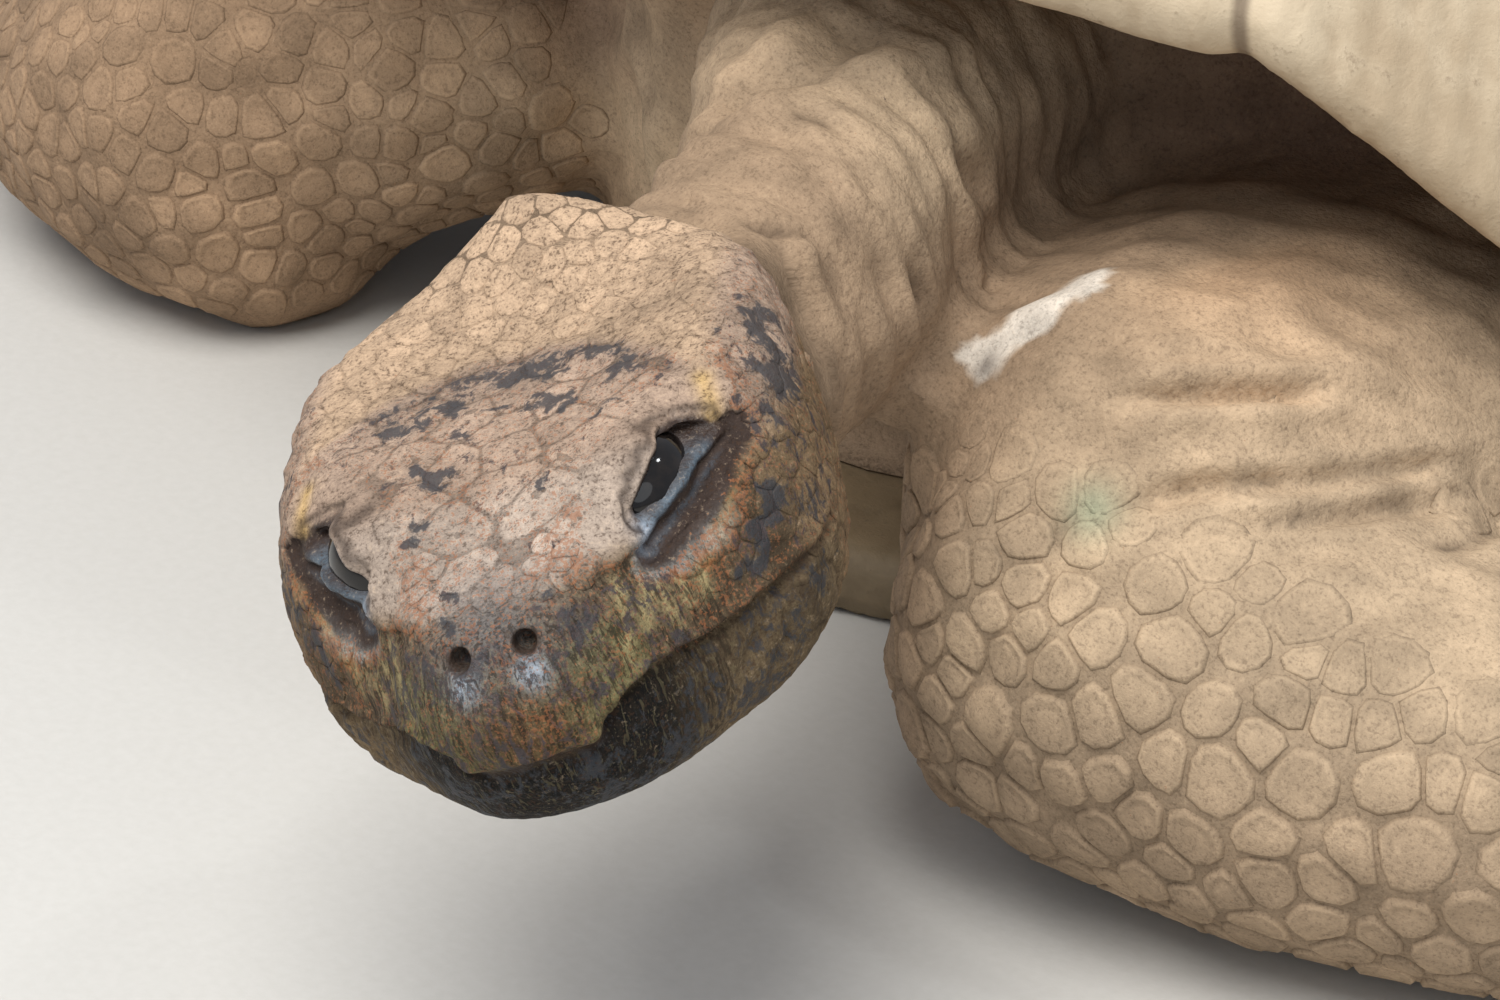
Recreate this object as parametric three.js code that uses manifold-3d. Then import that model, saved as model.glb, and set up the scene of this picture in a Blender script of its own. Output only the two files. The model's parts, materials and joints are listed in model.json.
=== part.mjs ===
// A giant tortoise at rest, life size, as closed solids in millimetres.
//
// Body frame: +X is the animal's left, -Y is forwards, +Z is up, and the floor is z = 0.
// The head is modelled in its own frame, with the same axes, and a group turns it into its pose.
import * as THREE from "three";
import { mergeVertices } from "three/addons/utils/BufferGeometryUtils.js";
import Module from "manifold-3d";

const wasm = await Module();
wasm.setup();

// ---------------------------------------------------------------- driving dimensions

const GAP = 0.4; // clearance between solids that meet

const SHELL = {
  frontLength: 520, // from the middle to the front edge, seen from above
  rearLength: 560,
  halfWidth: 410,
  height: 505,
  roundness: 2.12, // exponent of the outline's superellipse
  plate: 15, // thickness of a horn plate with its bone
  rimFront: 281, // height of the rim's edge over the neck, over the arms, at the bridge, and behind
  rimShoulder: 246,
  rimSide: 112,
  rimRear: 122,
};

const HEAD = {
  middle: new THREE.Vector3(212, -655, 166),
  turnLeft: 42, // degrees
  noseDown: -1,
  leftUp: 20.3,
};

const EYE = {
  centre: new THREE.Vector3(34.3, -34.8, 15.1),
  radii: [15.5, 13, 11], // along the slit between the lids, outwards, and across the slit
  slit: new THREE.Vector3(0.524, 0.799, 0.295), // towards the slit's rear corner
  outward: new THREE.Vector3(0.849, -0.515, -0.114),
};

const BELLY = { thickness: 24, halfWidth: 296, front: 425, rear: 440 };

const CLAWS = { front: 5, hind: 4, length: 52, radius: 11.5 };

// ---------------------------------------------------------------- materials

const material = (color, roughness) =>
  new THREE.MeshStandardMaterial({ color, roughness, metalness: 0 });

const FLESH = material(0x8d7863, 0.85);
const HEAD_SKIN = material(0x9a8470, 0.7);
const JAW_HORN = material(0x45402f, 0.55);
const HORN_PLATE = material(0x8c7c66, 0.6);
const RIM_PLATE = material(0xa99877, 0.6);
const BELLY_PLATE = material(0x97876b, 0.65);
const CLAW = material(0x4b433a, 0.45);
const EYEBALL = material(0x14100e, 0.08);

const tortoise = new THREE.Group();
const head = new THREE.Group();
head.position.copy(HEAD.middle);
head.rotation.set(
  THREE.MathUtils.degToRad(HEAD.noseDown),
  THREE.MathUtils.degToRad(-HEAD.leftUp),
  THREE.MathUtils.degToRad(HEAD.turnLeft),
  "ZXY",
);
head.updateMatrixWorld(true);
tortoise.add(head);

function addPart(parent, name, geometry, finish) {
  const mesh = new THREE.Mesh(geometry, finish);
  mesh.name = name;
  parent.add(mesh);
}

// ---------------------------------------------------------------- helpers

const point = (x, y, z) => new THREE.Vector3(x, y, z);
const mix = THREE.MathUtils.lerp;

// A smooth function through pairs of [place, value], flat beyond both ends.
function along(...pairs) {
  const curve = new THREE.CatmullRomCurve3(
    pairs.map(([place, value]) => point(place, value, 0)),
  );
  return (place) => {
    const last = pairs.length - 1;
    if (place <= pairs[0][0]) return pairs[0][1];
    if (place >= pairs[last][0]) return pairs[last][1];
    const i = pairs.findIndex((pair) => pair[0] > place) - 1;
    const share = (place - pairs[i][0]) / (pairs[i + 1][0] - pairs[i][0]);
    return curve.getPoint((i + share) / last).y;
  };
}

// The volume inside a closed surface, negative where its faces point inwards.
function signedVolume(points, faces) {
  let sum = 0;
  for (let i = 0; i < faces.length; i += 3)
    sum += points[faces[i]].dot(
      points[faces[i + 1]].clone().cross(points[faces[i + 2]]),
    );
  return sum / 6;
}

function closedSurface(points, faces) {
  if (signedVolume(points, faces) < 0) faces.reverse();
  const geometry = new THREE.BufferGeometry().setFromPoints(points);
  geometry.setIndex(faces);
  return geometry;
}

// Joins rings of equal length into one closed surface, with a fan over each end.
function loft(rings) {
  const n = rings[0].length;
  const points = rings.flat();
  const faces = [];
  for (let i = 0; i + 1 < rings.length; i++)
    for (let k = 0; k < n; k++) {
      const [a, b] = [i * n + k, i * n + ((k + 1) % n)];
      faces.push(a, b, b + n, a, b + n, a + n);
    }
  for (const [ring, start, turned] of [
    [rings[0], 0, true],
    [rings[rings.length - 1], points.length - n, false],
  ]) {
    const centre = ring.reduce((sum, p) => sum.add(p), point(0, 0, 0));
    points.push(centre.divideScalar(n));
    for (let k = 0; k < n; k++) {
      const [a, b] = [start + k, start + ((k + 1) % n)];
      faces.push(points.length - 1, turned ? b : a, turned ? a : b);
    }
  }
  return closedSurface(points, faces);
}

// A limb or neck: oval sections along a smooth line. Each station is [x, y, z, width, height].
function limb(stations, { rings, around, roundEnd = true, roundStart = false }) {
  const line = new THREE.CatmullRomCurve3(stations.map((s) => point(...s)));
  const width = along(...stations.map((s, i) => [i / (stations.length - 1), s[3]]));
  const height = along(...stations.map((s, i) => [i / (stations.length - 1), s[4]]));
  const ringAt = (share, shrink, push) => {
    const tangent = line.getTangent(share);
    const across = tangent.clone().cross(point(0, 0, 1)).normalize();
    const up = across.clone().cross(tangent).normalize();
    const centre = line.getPoint(share).addScaledVector(tangent, push);
    return Array.from({ length: around }, (_, k) => {
      const turn = (2 * Math.PI * k) / around;
      return centre
        .clone()
        .addScaledVector(across, (shrink * width(share) * Math.cos(turn)) / 2)
        .addScaledVector(up, (shrink * height(share) * Math.sin(turn)) / 2);
    });
  };
  const body = Array.from({ length: rings }, (_, i) => ringAt(i / (rings - 1), 1, 0));
  const cap = (share, direction) =>
    [0.45, 0.85].map((sine) => {
      const radius = Math.min(width(share), height(share)) / 2;
      return ringAt(share, Math.sqrt(1 - sine * sine), direction * 0.62 * radius * sine);
    });
  if (roundEnd) body.push(...cap(1, 1));
  if (roundStart) body.unshift(...cap(0, -1).reverse());
  return loft(body);
}

function ellipsoid(centre, radii, turn, detail) {
  return new THREE.SphereGeometry(1, ...detail)
    .scale(...radii)
    .applyMatrix4(turn)
    .translate(...centre);
}

// The same surface, moved out along its normals, to cut a neighbour with a clearance.
function grown(geometry, by = GAP) {
  const bare = new THREE.BufferGeometry();
  bare.setAttribute("position", geometry.getAttribute("position").clone());
  if (geometry.index) bare.setIndex(geometry.index.clone());
  const merged = mergeVertices(bare, 1e-3);
  merged.computeVertexNormals();
  const [place, normal] = [merged.getAttribute("position"), merged.getAttribute("normal")];
  for (let i = 0; i < place.count; i++)
    place.setXYZ(
      i,
      place.getX(i) + by * normal.getX(i),
      place.getY(i) + by * normal.getY(i),
      place.getZ(i) + by * normal.getZ(i),
    );
  merged.deleteAttribute("normal");
  return merged;
}

function solidOf(geometry) {
  const bare = new THREE.BufferGeometry();
  bare.setAttribute("position", geometry.getAttribute("position"));
  if (geometry.index) bare.setIndex(geometry.index);
  const merged = mergeVertices(bare, 1e-3);
  const mesh = new wasm.Mesh({
    numProp: 3,
    vertProperties: merged.getAttribute("position").array,
    triVerts: new Uint32Array(merged.index.array),
  });
  return new wasm.Manifold(mesh);
}

function geometryOf(solid) {
  const largest = solid.decompose().sort((a, b) => b.volume() - a.volume())[0];
  const mesh = largest.getMesh();
  const geometry = new THREE.BufferGeometry();
  geometry.setAttribute("position", new THREE.BufferAttribute(mesh.vertProperties, 3));
  geometry.setIndex(new THREE.BufferAttribute(mesh.triVerts, 1));
  return geometry;
}

const cut = (geometry, ...tools) =>
  geometryOf(tools.reduce((rest, tool) => rest.subtract(solidOf(tool)), solidOf(geometry)));
const join = (...geometries) =>
  geometryOf(geometries.map(solidOf).reduce((sum, solid) => sum.add(solid)));
const common = (a, b) => geometryOf(solidOf(a).intersect(solidOf(b)));

const FLOOR = new THREE.BoxGeometry(4000, 4000, 400).translate(0, 0, -200);

// ---------------------------------------------------------------- shell form

// Angles run round the shell from its front, through the animal's left side.
const DEGREE = Math.PI / 180;

function outlineRadius(angle) {
  const [side, length] = [Math.abs(Math.sin(angle)), Math.cos(angle)];
  const reach = length > 0 ? SHELL.frontLength : SHELL.rearLength;
  const n = SHELL.roundness;
  return ((side / SHELL.halfWidth) ** n + (Math.abs(length) / reach) ** n) ** (-1 / n);
}

const rimHeightAt = along(
  [0, SHELL.rimFront],
  [18, SHELL.rimFront - 12],
  [30, SHELL.rimShoulder],
  [38, 180],
  [50, 138],
  [80, SHELL.rimSide],
  [120, SHELL.rimSide + 6],
  [150, SHELL.rimRear + 16],
  [180, SHELL.rimRear],
);
const rimHeight = (angle) => {
  const degrees = (((angle / DEGREE) % 360) + 360) % 360;
  return rimHeightAt(degrees > 180 ? 360 - degrees : degrees);
};

// The dome's profile, from the top (0) to the rim (1): share of the radius, and of the height.
const domeReach = along([0, 0], [0.2, 0.3], [0.4, 0.565], [0.6, 0.775], [0.8, 0.915], [1, 1]);
const domeRise = along([0, 1], [0.2, 0.955], [0.4, 0.825], [0.6, 0.605], [0.8, 0.315], [1, 0]);

// A point of the dome, moved towards the shell's inside by depth.
function dome(angle, down, depth) {
  const rim = rimHeight(angle);
  const place = (share) =>
    new THREE.Vector2(
      domeReach(share) * outlineRadius(angle),
      rim + domeRise(share) * (SHELL.height - rim),
    );
  const here = place(down);
  const step = place(Math.min(down + 0.02, 1)).sub(place(Math.max(down - 0.02, 0))).normalize();
  const radius = here.x + step.y * depth;
  const height = here.y - step.x * depth;
  return point(Math.sin(angle) * radius, -Math.cos(angle) * radius, height);
}

// The dome seen as a unit disc: across is -1 to 1 to the left, back is -1 at the front edge.
function onDome(across, back, depth) {
  const reach = Math.min(Math.hypot(across, back), 1);
  let [low, high] = [0, 1];
  for (let i = 0; i < 24; i++) {
    const middle = (low + high) / 2;
    if (domeReach(middle) < reach) low = middle;
    else high = middle;
  }
  return dome(Math.atan2(across, -back), low, depth);
}

// ---------------------------------------------------------------- horn plates of the dome

const PLATE_EDGE = 0.885; // where the plates of the dome meet those of the rim, as a share of the radius
const SPINE_SEAMS = [-0.56, -0.2, 0.16, 0.52]; // seams across the middle row, as shares of the length
const SPINE_SEAM_HALF = 0.2; // half width of the middle row at its seams
const SPINE_APEX_HALF = 0.3; // and where the side plates' seams meet it
const PLATE_STEP = 0.17; // spacing of the points round a plate, as a share of the shell's radius
const PLATE_RINGS = [1, 0.86, 0.45]; // shares of the plate, from its edge inwards
const PLATE_CROWN = 5; // rise of a plate's middle

const edgeAt = (degrees) => [
  PLATE_EDGE * Math.sin(degrees * DEGREE),
  -PLATE_EDGE * Math.cos(degrees * DEGREE),
];
const mirrored = (corners) => corners.map(([x, y]) => [-x, y]).reverse();

// Corner lists of the plates, each in the unit disc, with the outer arcs followed in steps.
function plateOutlines() {
  const arc = (from, to, steps) =>
    Array.from({ length: steps + 1 }, (_, i) => edgeAt(mix(from, to, i / steps)));
  const seams = SPINE_SEAMS;
  const middles = seams.slice(1).map((seam, i) => (seam + seams[i]) / 2);
  const sideMeets = [14, 56, 88, 120, 166]; // where the side plates' seams reach the rim, in degrees
  const outlines = {};
  outlines.vertebral_1 = [
    ...arc(-sideMeets[0], sideMeets[0], 2),
    [SPINE_APEX_HALF * 0.92, -0.69],
    [SPINE_SEAM_HALF, seams[0]],
    [-SPINE_SEAM_HALF, seams[0]],
    [-SPINE_APEX_HALF * 0.92, -0.69],
  ];
  for (let i = 0; i < 3; i++)
    outlines[`vertebral_${i + 2}`] = [
      [-SPINE_SEAM_HALF, seams[i]],
      [SPINE_SEAM_HALF, seams[i]],
      [SPINE_APEX_HALF, middles[i]],
      [SPINE_SEAM_HALF, seams[i + 1]],
      [-SPINE_SEAM_HALF, seams[i + 1]],
      [-SPINE_APEX_HALF, middles[i]],
    ];
  outlines.vertebral_5 = [
    [-SPINE_SEAM_HALF, seams[3]],
    [SPINE_SEAM_HALF, seams[3]],
    [SPINE_APEX_HALF * 1.02, 0.72],
    ...arc(sideMeets[4], 360 - sideMeets[4], 2),
    [-SPINE_APEX_HALF * 1.02, 0.72],
  ];
  const inner = [
    [[SPINE_APEX_HALF, middles[0]], [SPINE_SEAM_HALF, seams[0]], [SPINE_APEX_HALF * 0.92, -0.69]],
    [[SPINE_APEX_HALF, middles[1]], [SPINE_SEAM_HALF, seams[1]], [SPINE_APEX_HALF, middles[0]]],
    [[SPINE_APEX_HALF, middles[2]], [SPINE_SEAM_HALF, seams[2]], [SPINE_APEX_HALF, middles[1]]],
    [[SPINE_APEX_HALF * 1.02, 0.72], [SPINE_SEAM_HALF, seams[3]], [SPINE_APEX_HALF, middles[2]]],
  ];
  inner.forEach((corners, i) => {
    const left = [...arc(sideMeets[i], sideMeets[i + 1], 3), ...corners];
    outlines[`costal_left_${i + 1}`] = left;
    outlines[`costal_right_${i + 1}`] = mirrored(left);
  });
  return outlines;
}

// The outline's corners, with points spaced evenly along each side, so that neighbours match.
function spaced(corners) {
  return corners.flatMap((corner, i) => {
    const next = corners[(i + 1) % corners.length];
    const length = Math.hypot(next[0] - corner[0], next[1] - corner[1]);
    const steps = Math.max(1, Math.round(length / PLATE_STEP));
    return Array.from({ length: steps }, (_, k) => [
      mix(corner[0], next[0], k / steps),
      mix(corner[1], next[1], k / steps),
    ]);
  });
}

function hornPlate(corners) {
  const edge = spaced(corners);
  const middle = edge
    .reduce((sum, [x, y]) => [sum[0] + x, sum[1] + y], [0, 0])
    .map((sum) => sum / edge.length);
  const narrow = 1 / SHELL.halfWidth; // the seam's half width, in the unit disc
  const ring = (share, depth) =>
    edge.map(([x, y]) => {
      const away = Math.hypot(x - middle[0], y - middle[1]);
      const kept = share * (1 - narrow / away);
      return onDome(mix(middle[0], x, kept), mix(middle[1], y, kept), depth);
    });
  const outer = PLATE_RINGS.map((share) =>
    ring(share, share === 1 ? 2 : -PLATE_CROWN * (1 - share)),
  );
  const inner = [0.5, 1].map((share) => ring(share, SHELL.plate));
  return loft([...outer.reverse(), ...inner.reverse()]);
}

for (const [name, corners] of Object.entries(plateOutlines()))
  addPart(tortoise, name, hornPlate(corners), HORN_PLATE);

// ---------------------------------------------------------------- rim plates

// Where the rim's lengths meet, in degrees from the front, and how many plates each holds.
const RIM_LENGTHS = [
  { name: "front", from: 0.15, to: 57, plates: 4 },
  { name: "side", from: 57, to: 121, plates: 4 },
  { name: "rear", from: 121, to: 171.5, plates: 3 },
];

// The rim's section at an angle: down the outside, round the edge, and up the inside.
function rimSection(angle, sink) {
  const out = point(Math.sin(angle), -Math.cos(angle), 0);
  const top = 0.762;
  const edge = dome(angle, 1, 0);
  const outside = [top, 0.88].map((down) => dome(angle, down, sink));
  const inside = [0.9, top].map((down) => dome(angle, down, SHELL.plate + 3));
  const beside = (reach, rise) =>
    edge.clone().addScaledVector(out, reach - sink * 0.7).add(point(0, 0, rise + sink * 0.5));
  return [...outside, beside(7, 4), beside(4, -9), beside(-10, -14), beside(-21, -2), ...inside];
}

function rimPart(from, to, plates) {
  const step = (to - from) / plates;
  const stations = [];
  for (let i = 0; i < plates; i++) {
    const start = from + i * step;
    stations.push([start, 3], [start + 1.2, -0.5], [start + step - 1.2, -0.5]);
  }
  stations.push([to, 3]);
  return loft(stations.map(([degrees, sink]) => rimSection(degrees * DEGREE, sink)));
}

const RIM_GAP = 0.05; // degrees, half the clearance between two lengths
const rims = { rim_tail: rimPart(171.5 + RIM_GAP, 188.5 - RIM_GAP, 1) };
for (const { name, from, to, plates } of RIM_LENGTHS) {
  rims[`rim_${name}_left`] = rimPart(from + RIM_GAP, to - RIM_GAP, plates);
  rims[`rim_${name}_right`] = rimPart(RIM_GAP - to, -from - RIM_GAP, plates);
}
for (const [name, geometry] of Object.entries(rims))
  addPart(tortoise, name, geometry, RIM_PLATE);
const rimCutters = Object.values(rims).map((geometry) => grown(geometry));

// ---------------------------------------------------------------- belly plate and bridges

function bellyPlate() {
  const b = BELLY;
  const half = new THREE.Shape();
  half.moveTo(0, -b.front + 22); // the notch between the two front horns
  half.lineTo(52, -b.front);
  half.bezierCurveTo(150, -b.front + 12, 190, -330, 206, -262);
  half.bezierCurveTo(230, -222, b.halfWidth, -220, b.halfWidth, -150);
  half.lineTo(b.halfWidth, 150);
  half.bezierCurveTo(b.halfWidth, 214, 236, 212, 216, 262);
  half.bezierCurveTo(204, 350, 160, b.rear - 20, 76, b.rear);
  half.lineTo(0, b.rear - 48);
  const outline = half.getPoints(3);
  const other = outline.slice(1, -1).map((p) => new THREE.Vector2(-p.x, p.y));
  return new THREE.ExtrudeGeometry(new THREE.Shape([...outline, ...other.reverse()]), {
    depth: b.thickness - 8,
    bevelEnabled: true,
    bevelThickness: 4,
    bevelSize: 4,
    bevelSegments: 1,
  }).translate(0, 0, 4);
}

// The wall of horn that joins the belly plate to the shell, on one side.
function bridge(side) {
  return loft(
    Array.from({ length: 5 }, (_, i) => {
      const angle = side * (64 + i * 13.5) * DEGREE;
      const reach = outlineRadius(angle);
      const top = rimHeight(angle) - 15;
      const at = (radius, z) => point(Math.sin(angle) * radius, -Math.cos(angle) * radius, z);
      const foot = Math.min((BELLY.halfWidth - 14) / Math.abs(Math.sin(angle)), reach * 0.8);
      return [
        at(foot - 14, 6),
        at(foot + 16, 6),
        at(mix(foot, reach, 0.62), 26),
        at(reach - 4, top),
        at(reach - 20, top),
        at(mix(foot, reach, 0.4), 40),
      ];
    }),
  );
}

const belly = bellyPlate();
addPart(tortoise, "plastron", belly, BELLY_PLATE);
const shellCutters = [grown(belly), ...rimCutters];
addPart(tortoise, "bridge_left", cut(bridge(1), ...shellCutters), BELLY_PLATE);
addPart(tortoise, "bridge_right", cut(bridge(-1), ...shellCutters), BELLY_PLATE);
shellCutters.push(grown(bridge(1), 3 * GAP), grown(bridge(-1), 3 * GAP));

// ---------------------------------------------------------------- trunk

// How far the skin lies inside the outline, below the rim, as a share of the radius.
const trunkReach = along([0, 0.73], [35, 0.74], [62, 0.84], [80, 0.9], [115, 0.9], [140, 0.8], [180, 0.84]);

function trunkForm() {
  const around = 28;
  const inside = SHELL.plate + 10;
  const ringOf = (place) =>
    Array.from({ length: around }, (_, k) => place((2 * Math.PI * k) / around));
  const under = [0.12, 0.32, 0.55, 0.8].map((down) =>
    ringOf((angle) => dome(angle, down, inside)),
  );
  const skirt = [1, 0.6, 0].map((share) =>
    ringOf((angle) => {
      const degrees = Math.abs(((angle / DEGREE + 540) % 360) - 180);
      const bulge = 1 + 0.035 * Math.sin(Math.PI * share);
      const radius = outlineRadius(angle) * trunkReach(degrees) * bulge;
      const z = mix(BELLY.thickness + GAP, rimHeight(angle) + 22, share);
      return point(Math.sin(angle) * radius, -Math.cos(angle) * radius, z);
    }),
  );
  return loft([...under, ...skirt]);
}

addPart(tortoise, "trunk", cut(trunkForm(), ...shellCutters), FLESH);
const bodyCutters = [...shellCutters, grown(trunkForm())];

// ---------------------------------------------------------------- head

// Profiles of the head against the distance in front of its middle.
const FRONT_END = 94;
const BACK_END = -94;
const roofHeight = along([-94, 42], [-88, 57], [-80, 62], [-70, 55], [-55, 42], [-38, 34], [-15, 32],
  [10, 31], [30, 28], [45, 23], [60, 16], [72, 12], [82, 8], [89, 2], [94, -9]);
const crownHalf = along([-94, 32], [-75, 46], [-55, 57], [-37, 62], [-15, 62], [8, 58], [26, 51],
  [40, 43], [52, 33], [64, 24], [78, 18], [88, 12.5], [94, 7]);
const crownHeight = along([-94, 26], [-75, 35], [-55, 38], [-37, 38], [-15, 35], [8, 31], [26, 29],
  [40, 26], [52, 20], [64, 13], [78, 8], [88, 1], [94, -9]);
const cheekHalf = along([-94, 43], [-75, 54], [-55, 62], [-37, 67], [-10, 71], [10, 72], [26, 67],
  [40, 57], [54, 46], [68, 34], [80, 26], [90, 17], [94, 9]);
const cheekHeight = along([-94, 2], [-60, 10], [-30, 10], [0, 7], [25, 2], [45, -5], [70, -10], [94, -16]);
const jawHalf = along([-94, 40], [-70, 52], [-40, 61], [-10, 65.5], [10, 65], [30, 60], [45, 52],
  [58, 43], [70, 34], [82, 24], [90, 15], [94, 8]);
const jawHeight = along([-94, -24], [-60, -32], [-20, -38], [40, -40], [70, -36], [86, -31], [94, -25]);
const throatHeight = along([-94, -36], [-60, -48], [-20, -54], [30, -56], [60, -53], [76, -49],
  [88, -40], [94, -28]);

function headRing(forward, narrow = 1) {
  const y = -forward;
  const side = [
    [crownHalf(forward) * 0.52, (roofHeight(forward) + crownHeight(forward)) / 2 + 1],
    [crownHalf(forward), crownHeight(forward)],
    [cheekHalf(forward), cheekHeight(forward)],
    [jawHalf(forward), jawHeight(forward)],
    [jawHalf(forward) * 0.64, throatHeight(forward) + 2],
  ].map(([x, z]) => [x * narrow, z]);
  const loop = [
    point(0, y, roofHeight(forward)),
    ...side.map(([x, z]) => point(x, y, z)),
    point(0, y, throatHeight(forward)),
    ...side.map(([x, z]) => point(-x, y, z)).reverse(),
  ];
  const curve = new THREE.CatmullRomCurve3(loop, true);
  return curve.getPoints(24).slice(0, -1);
}

// The head's places along its length, closer together towards the nose.
const headPlaces = Array.from({ length: 15 }, (_, i) => {
  const share = i / 14;
  return mix(BACK_END, FRONT_END, share + 0.16 * Math.sin(Math.PI * share) * share);
});

// What the lower jaw takes away from the head, seen from the side and run across it.
function mouthBlock(by) {
  const line = [
    [110, -23],
    [90, -23],
    [84, -25],
    [77, -21],
    [69, -18],
    [60, -19.5],
    [50, -21],
    [36, -20],
    [12, -20],
  ].map(([forward, z]) => new THREE.Vector2(forward, z + by));
  const shape = new THREE.Shape(new THREE.SplineCurve(line).getPoints(7));
  shape.lineTo(4 - by, -34);
  shape.lineTo(-1 - by, -80);
  shape.lineTo(110, -80);
  return new THREE.ExtrudeGeometry(shape, { depth: 240, bevelEnabled: false })
    .translate(0, 0, -120)
    .applyMatrix4(
      new THREE.Matrix4().makeBasis(point(0, -1, 0), point(0, 0, 1), point(-1, 0, 0)),
    );
}

// The turn that lays an oval's axes along the slit, outwards, and across the slit.
function eyeTurn(side) {
  const mirror = point(side, 1, 1);
  const slit = EYE.slit.clone().multiply(mirror);
  const outward = EYE.outward.clone().multiply(mirror);
  return new THREE.Matrix4().makeBasis(slit, outward, slit.clone().cross(outward));
}

// The ball, and the hollow between the lids in front of it, as ovals: shift is how far out they lie.
const eyeOval = (side, radii, shift, detail) => {
  const centre = EYE.centre.clone().addScaledVector(EYE.outward, shift);
  return ellipsoid([side * centre.x, centre.y, centre.z], radii, eyeTurn(side), detail);
};
const eyeSocket = (side) =>
  join(
    eyeOval(side, EYE.radii.map((radius) => radius + GAP), 0, [10, 8]),
    eyeOval(side, [20, 12, 9.5], 12, [12, 8]),
  );

const headForm = loft(headPlaces.map((forward) => headRing(forward)));
const nostril = (side) =>
  new THREE.CylinderGeometry(3.2, 2.4, 16, 8).rotateX(-0.35).translate(side * 9.2, -88, 3);
const skull = cut(
  headForm,
  mouthBlock(0),
  eyeSocket(1),
  eyeSocket(-1),
  nostril(1),
  nostril(-1),
);
addPart(head, "head", skull, HEAD_SKIN);

const jawForm = loft(
  headPlaces
    .filter((forward) => forward > -20)
    .map((forward) => headRing(forward, forward > 40 ? 0.95 : 1))
    .map((ring) => ring.map((p) => (p.y < -30 ? p.setY(p.y * 0.93 - 2.1) : p))),
);
addPart(head, "lower_jaw", common(jawForm, mouthBlock(-GAP)), JAW_HORN);

addPart(head, "eye_left", eyeOval(1, EYE.radii, 0, [10, 8]), EYEBALL);
addPart(head, "eye_right", eyeOval(-1, EYE.radii, 0, [10, 8]), EYEBALL);

// ---------------------------------------------------------------- neck

const inBody = (geometry) => geometry.clone().applyMatrix4(head.matrixWorld);
const headCutter = grown(inBody(headForm));
const nape = point(0, -BACK_END * 0.55, -6).applyMatrix4(head.matrixWorld);

const neckStart = limb(
  [
    [nape.x, nape.y, nape.z, 96, 84],
    [158, -548, 168, 88, 92],
    [140, -505, 173, 88, 98],
    [94, -444, 176, 108, 114],
  ],
  { rings: 7, around: 14, roundEnd: false },
);
const neckEnd = limb(
  [
    [94, -444, 176, 108, 114],
    [66, -400, 172, 132, 128],
    [36, -330, 160, 160, 142],
  ],
  { rings: 4, around: 14, roundEnd: false },
);
const neckCutters = [grown(neckStart), grown(neckEnd)];
const neckFront = cut(neckStart, headCutter, neckCutters[1], ...bodyCutters);
addPart(tortoise, "neck_front", neckFront, FLESH);
addPart(tortoise, "neck_rear", cut(neckEnd, ...bodyCutters), FLESH);

// ---------------------------------------------------------------- legs

// A claw: a blunt bent cone, set on the toes' edge and pointing outwards.
function claw(at, direction, size) {
  const out = new THREE.Vector3(...direction).normalize();
  const root = point(...at);
  const tip = root.clone().addScaledVector(out, CLAWS.length * size).setZ(Math.max(2.5, root.z - 9));
  const across = out.clone().cross(point(0, 0, 1)).normalize();
  const shares = [0, 0.55, 0.93];
  return loft(
    shares.map((share) => {
      const centre = root.clone().lerp(tip, share).add(point(0, 0, 5 * Math.sin(Math.PI * share)));
      const radius = CLAWS.radius * size * Math.sqrt(1 - share * 0.93);
      return Array.from({ length: 5 }, (_, k) => {
        const turn = (2 * Math.PI * (k + 0.25)) / 5;
        return centre
          .clone()
          .addScaledVector(across, radius * Math.cos(turn))
          .add(point(0, 0, radius * 0.75 * Math.sin(turn)));
      });
    }),
  );
}

// Adds a foot's claws along its front edge: the foot's end is an oval, halfWide across the claws'
// heading and deep along it, and the claws fan out a little.
function addClaws(name, count, foot, heading, halfWide, deep, z) {
  return Array.from({ length: count }, (_, i) => {
    const share = (2 * i) / (count - 1) - 1;
    const turn = (heading + 34 * share) * DEGREE;
    const out = point(Math.sin(turn), -Math.cos(turn), 0);
    const ahead = point(Math.sin(heading * DEGREE), -Math.cos(heading * DEGREE), 0);
    const beside = point(-ahead.y, ahead.x, 0);
    const root = point(foot[0], foot[1], z)
      .addScaledVector(beside, share * halfWide * 0.8)
      .addScaledVector(ahead, deep * Math.sqrt(1 - 0.62 * share * share));
    const shape = claw(root.toArray(), out.toArray(), 1 - 0.2 * Math.abs(share));
    addPart(tortoise, `${name}_claw_${i + 1}`, shape, CLAW);
    return grown(shape);
  });
}

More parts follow.
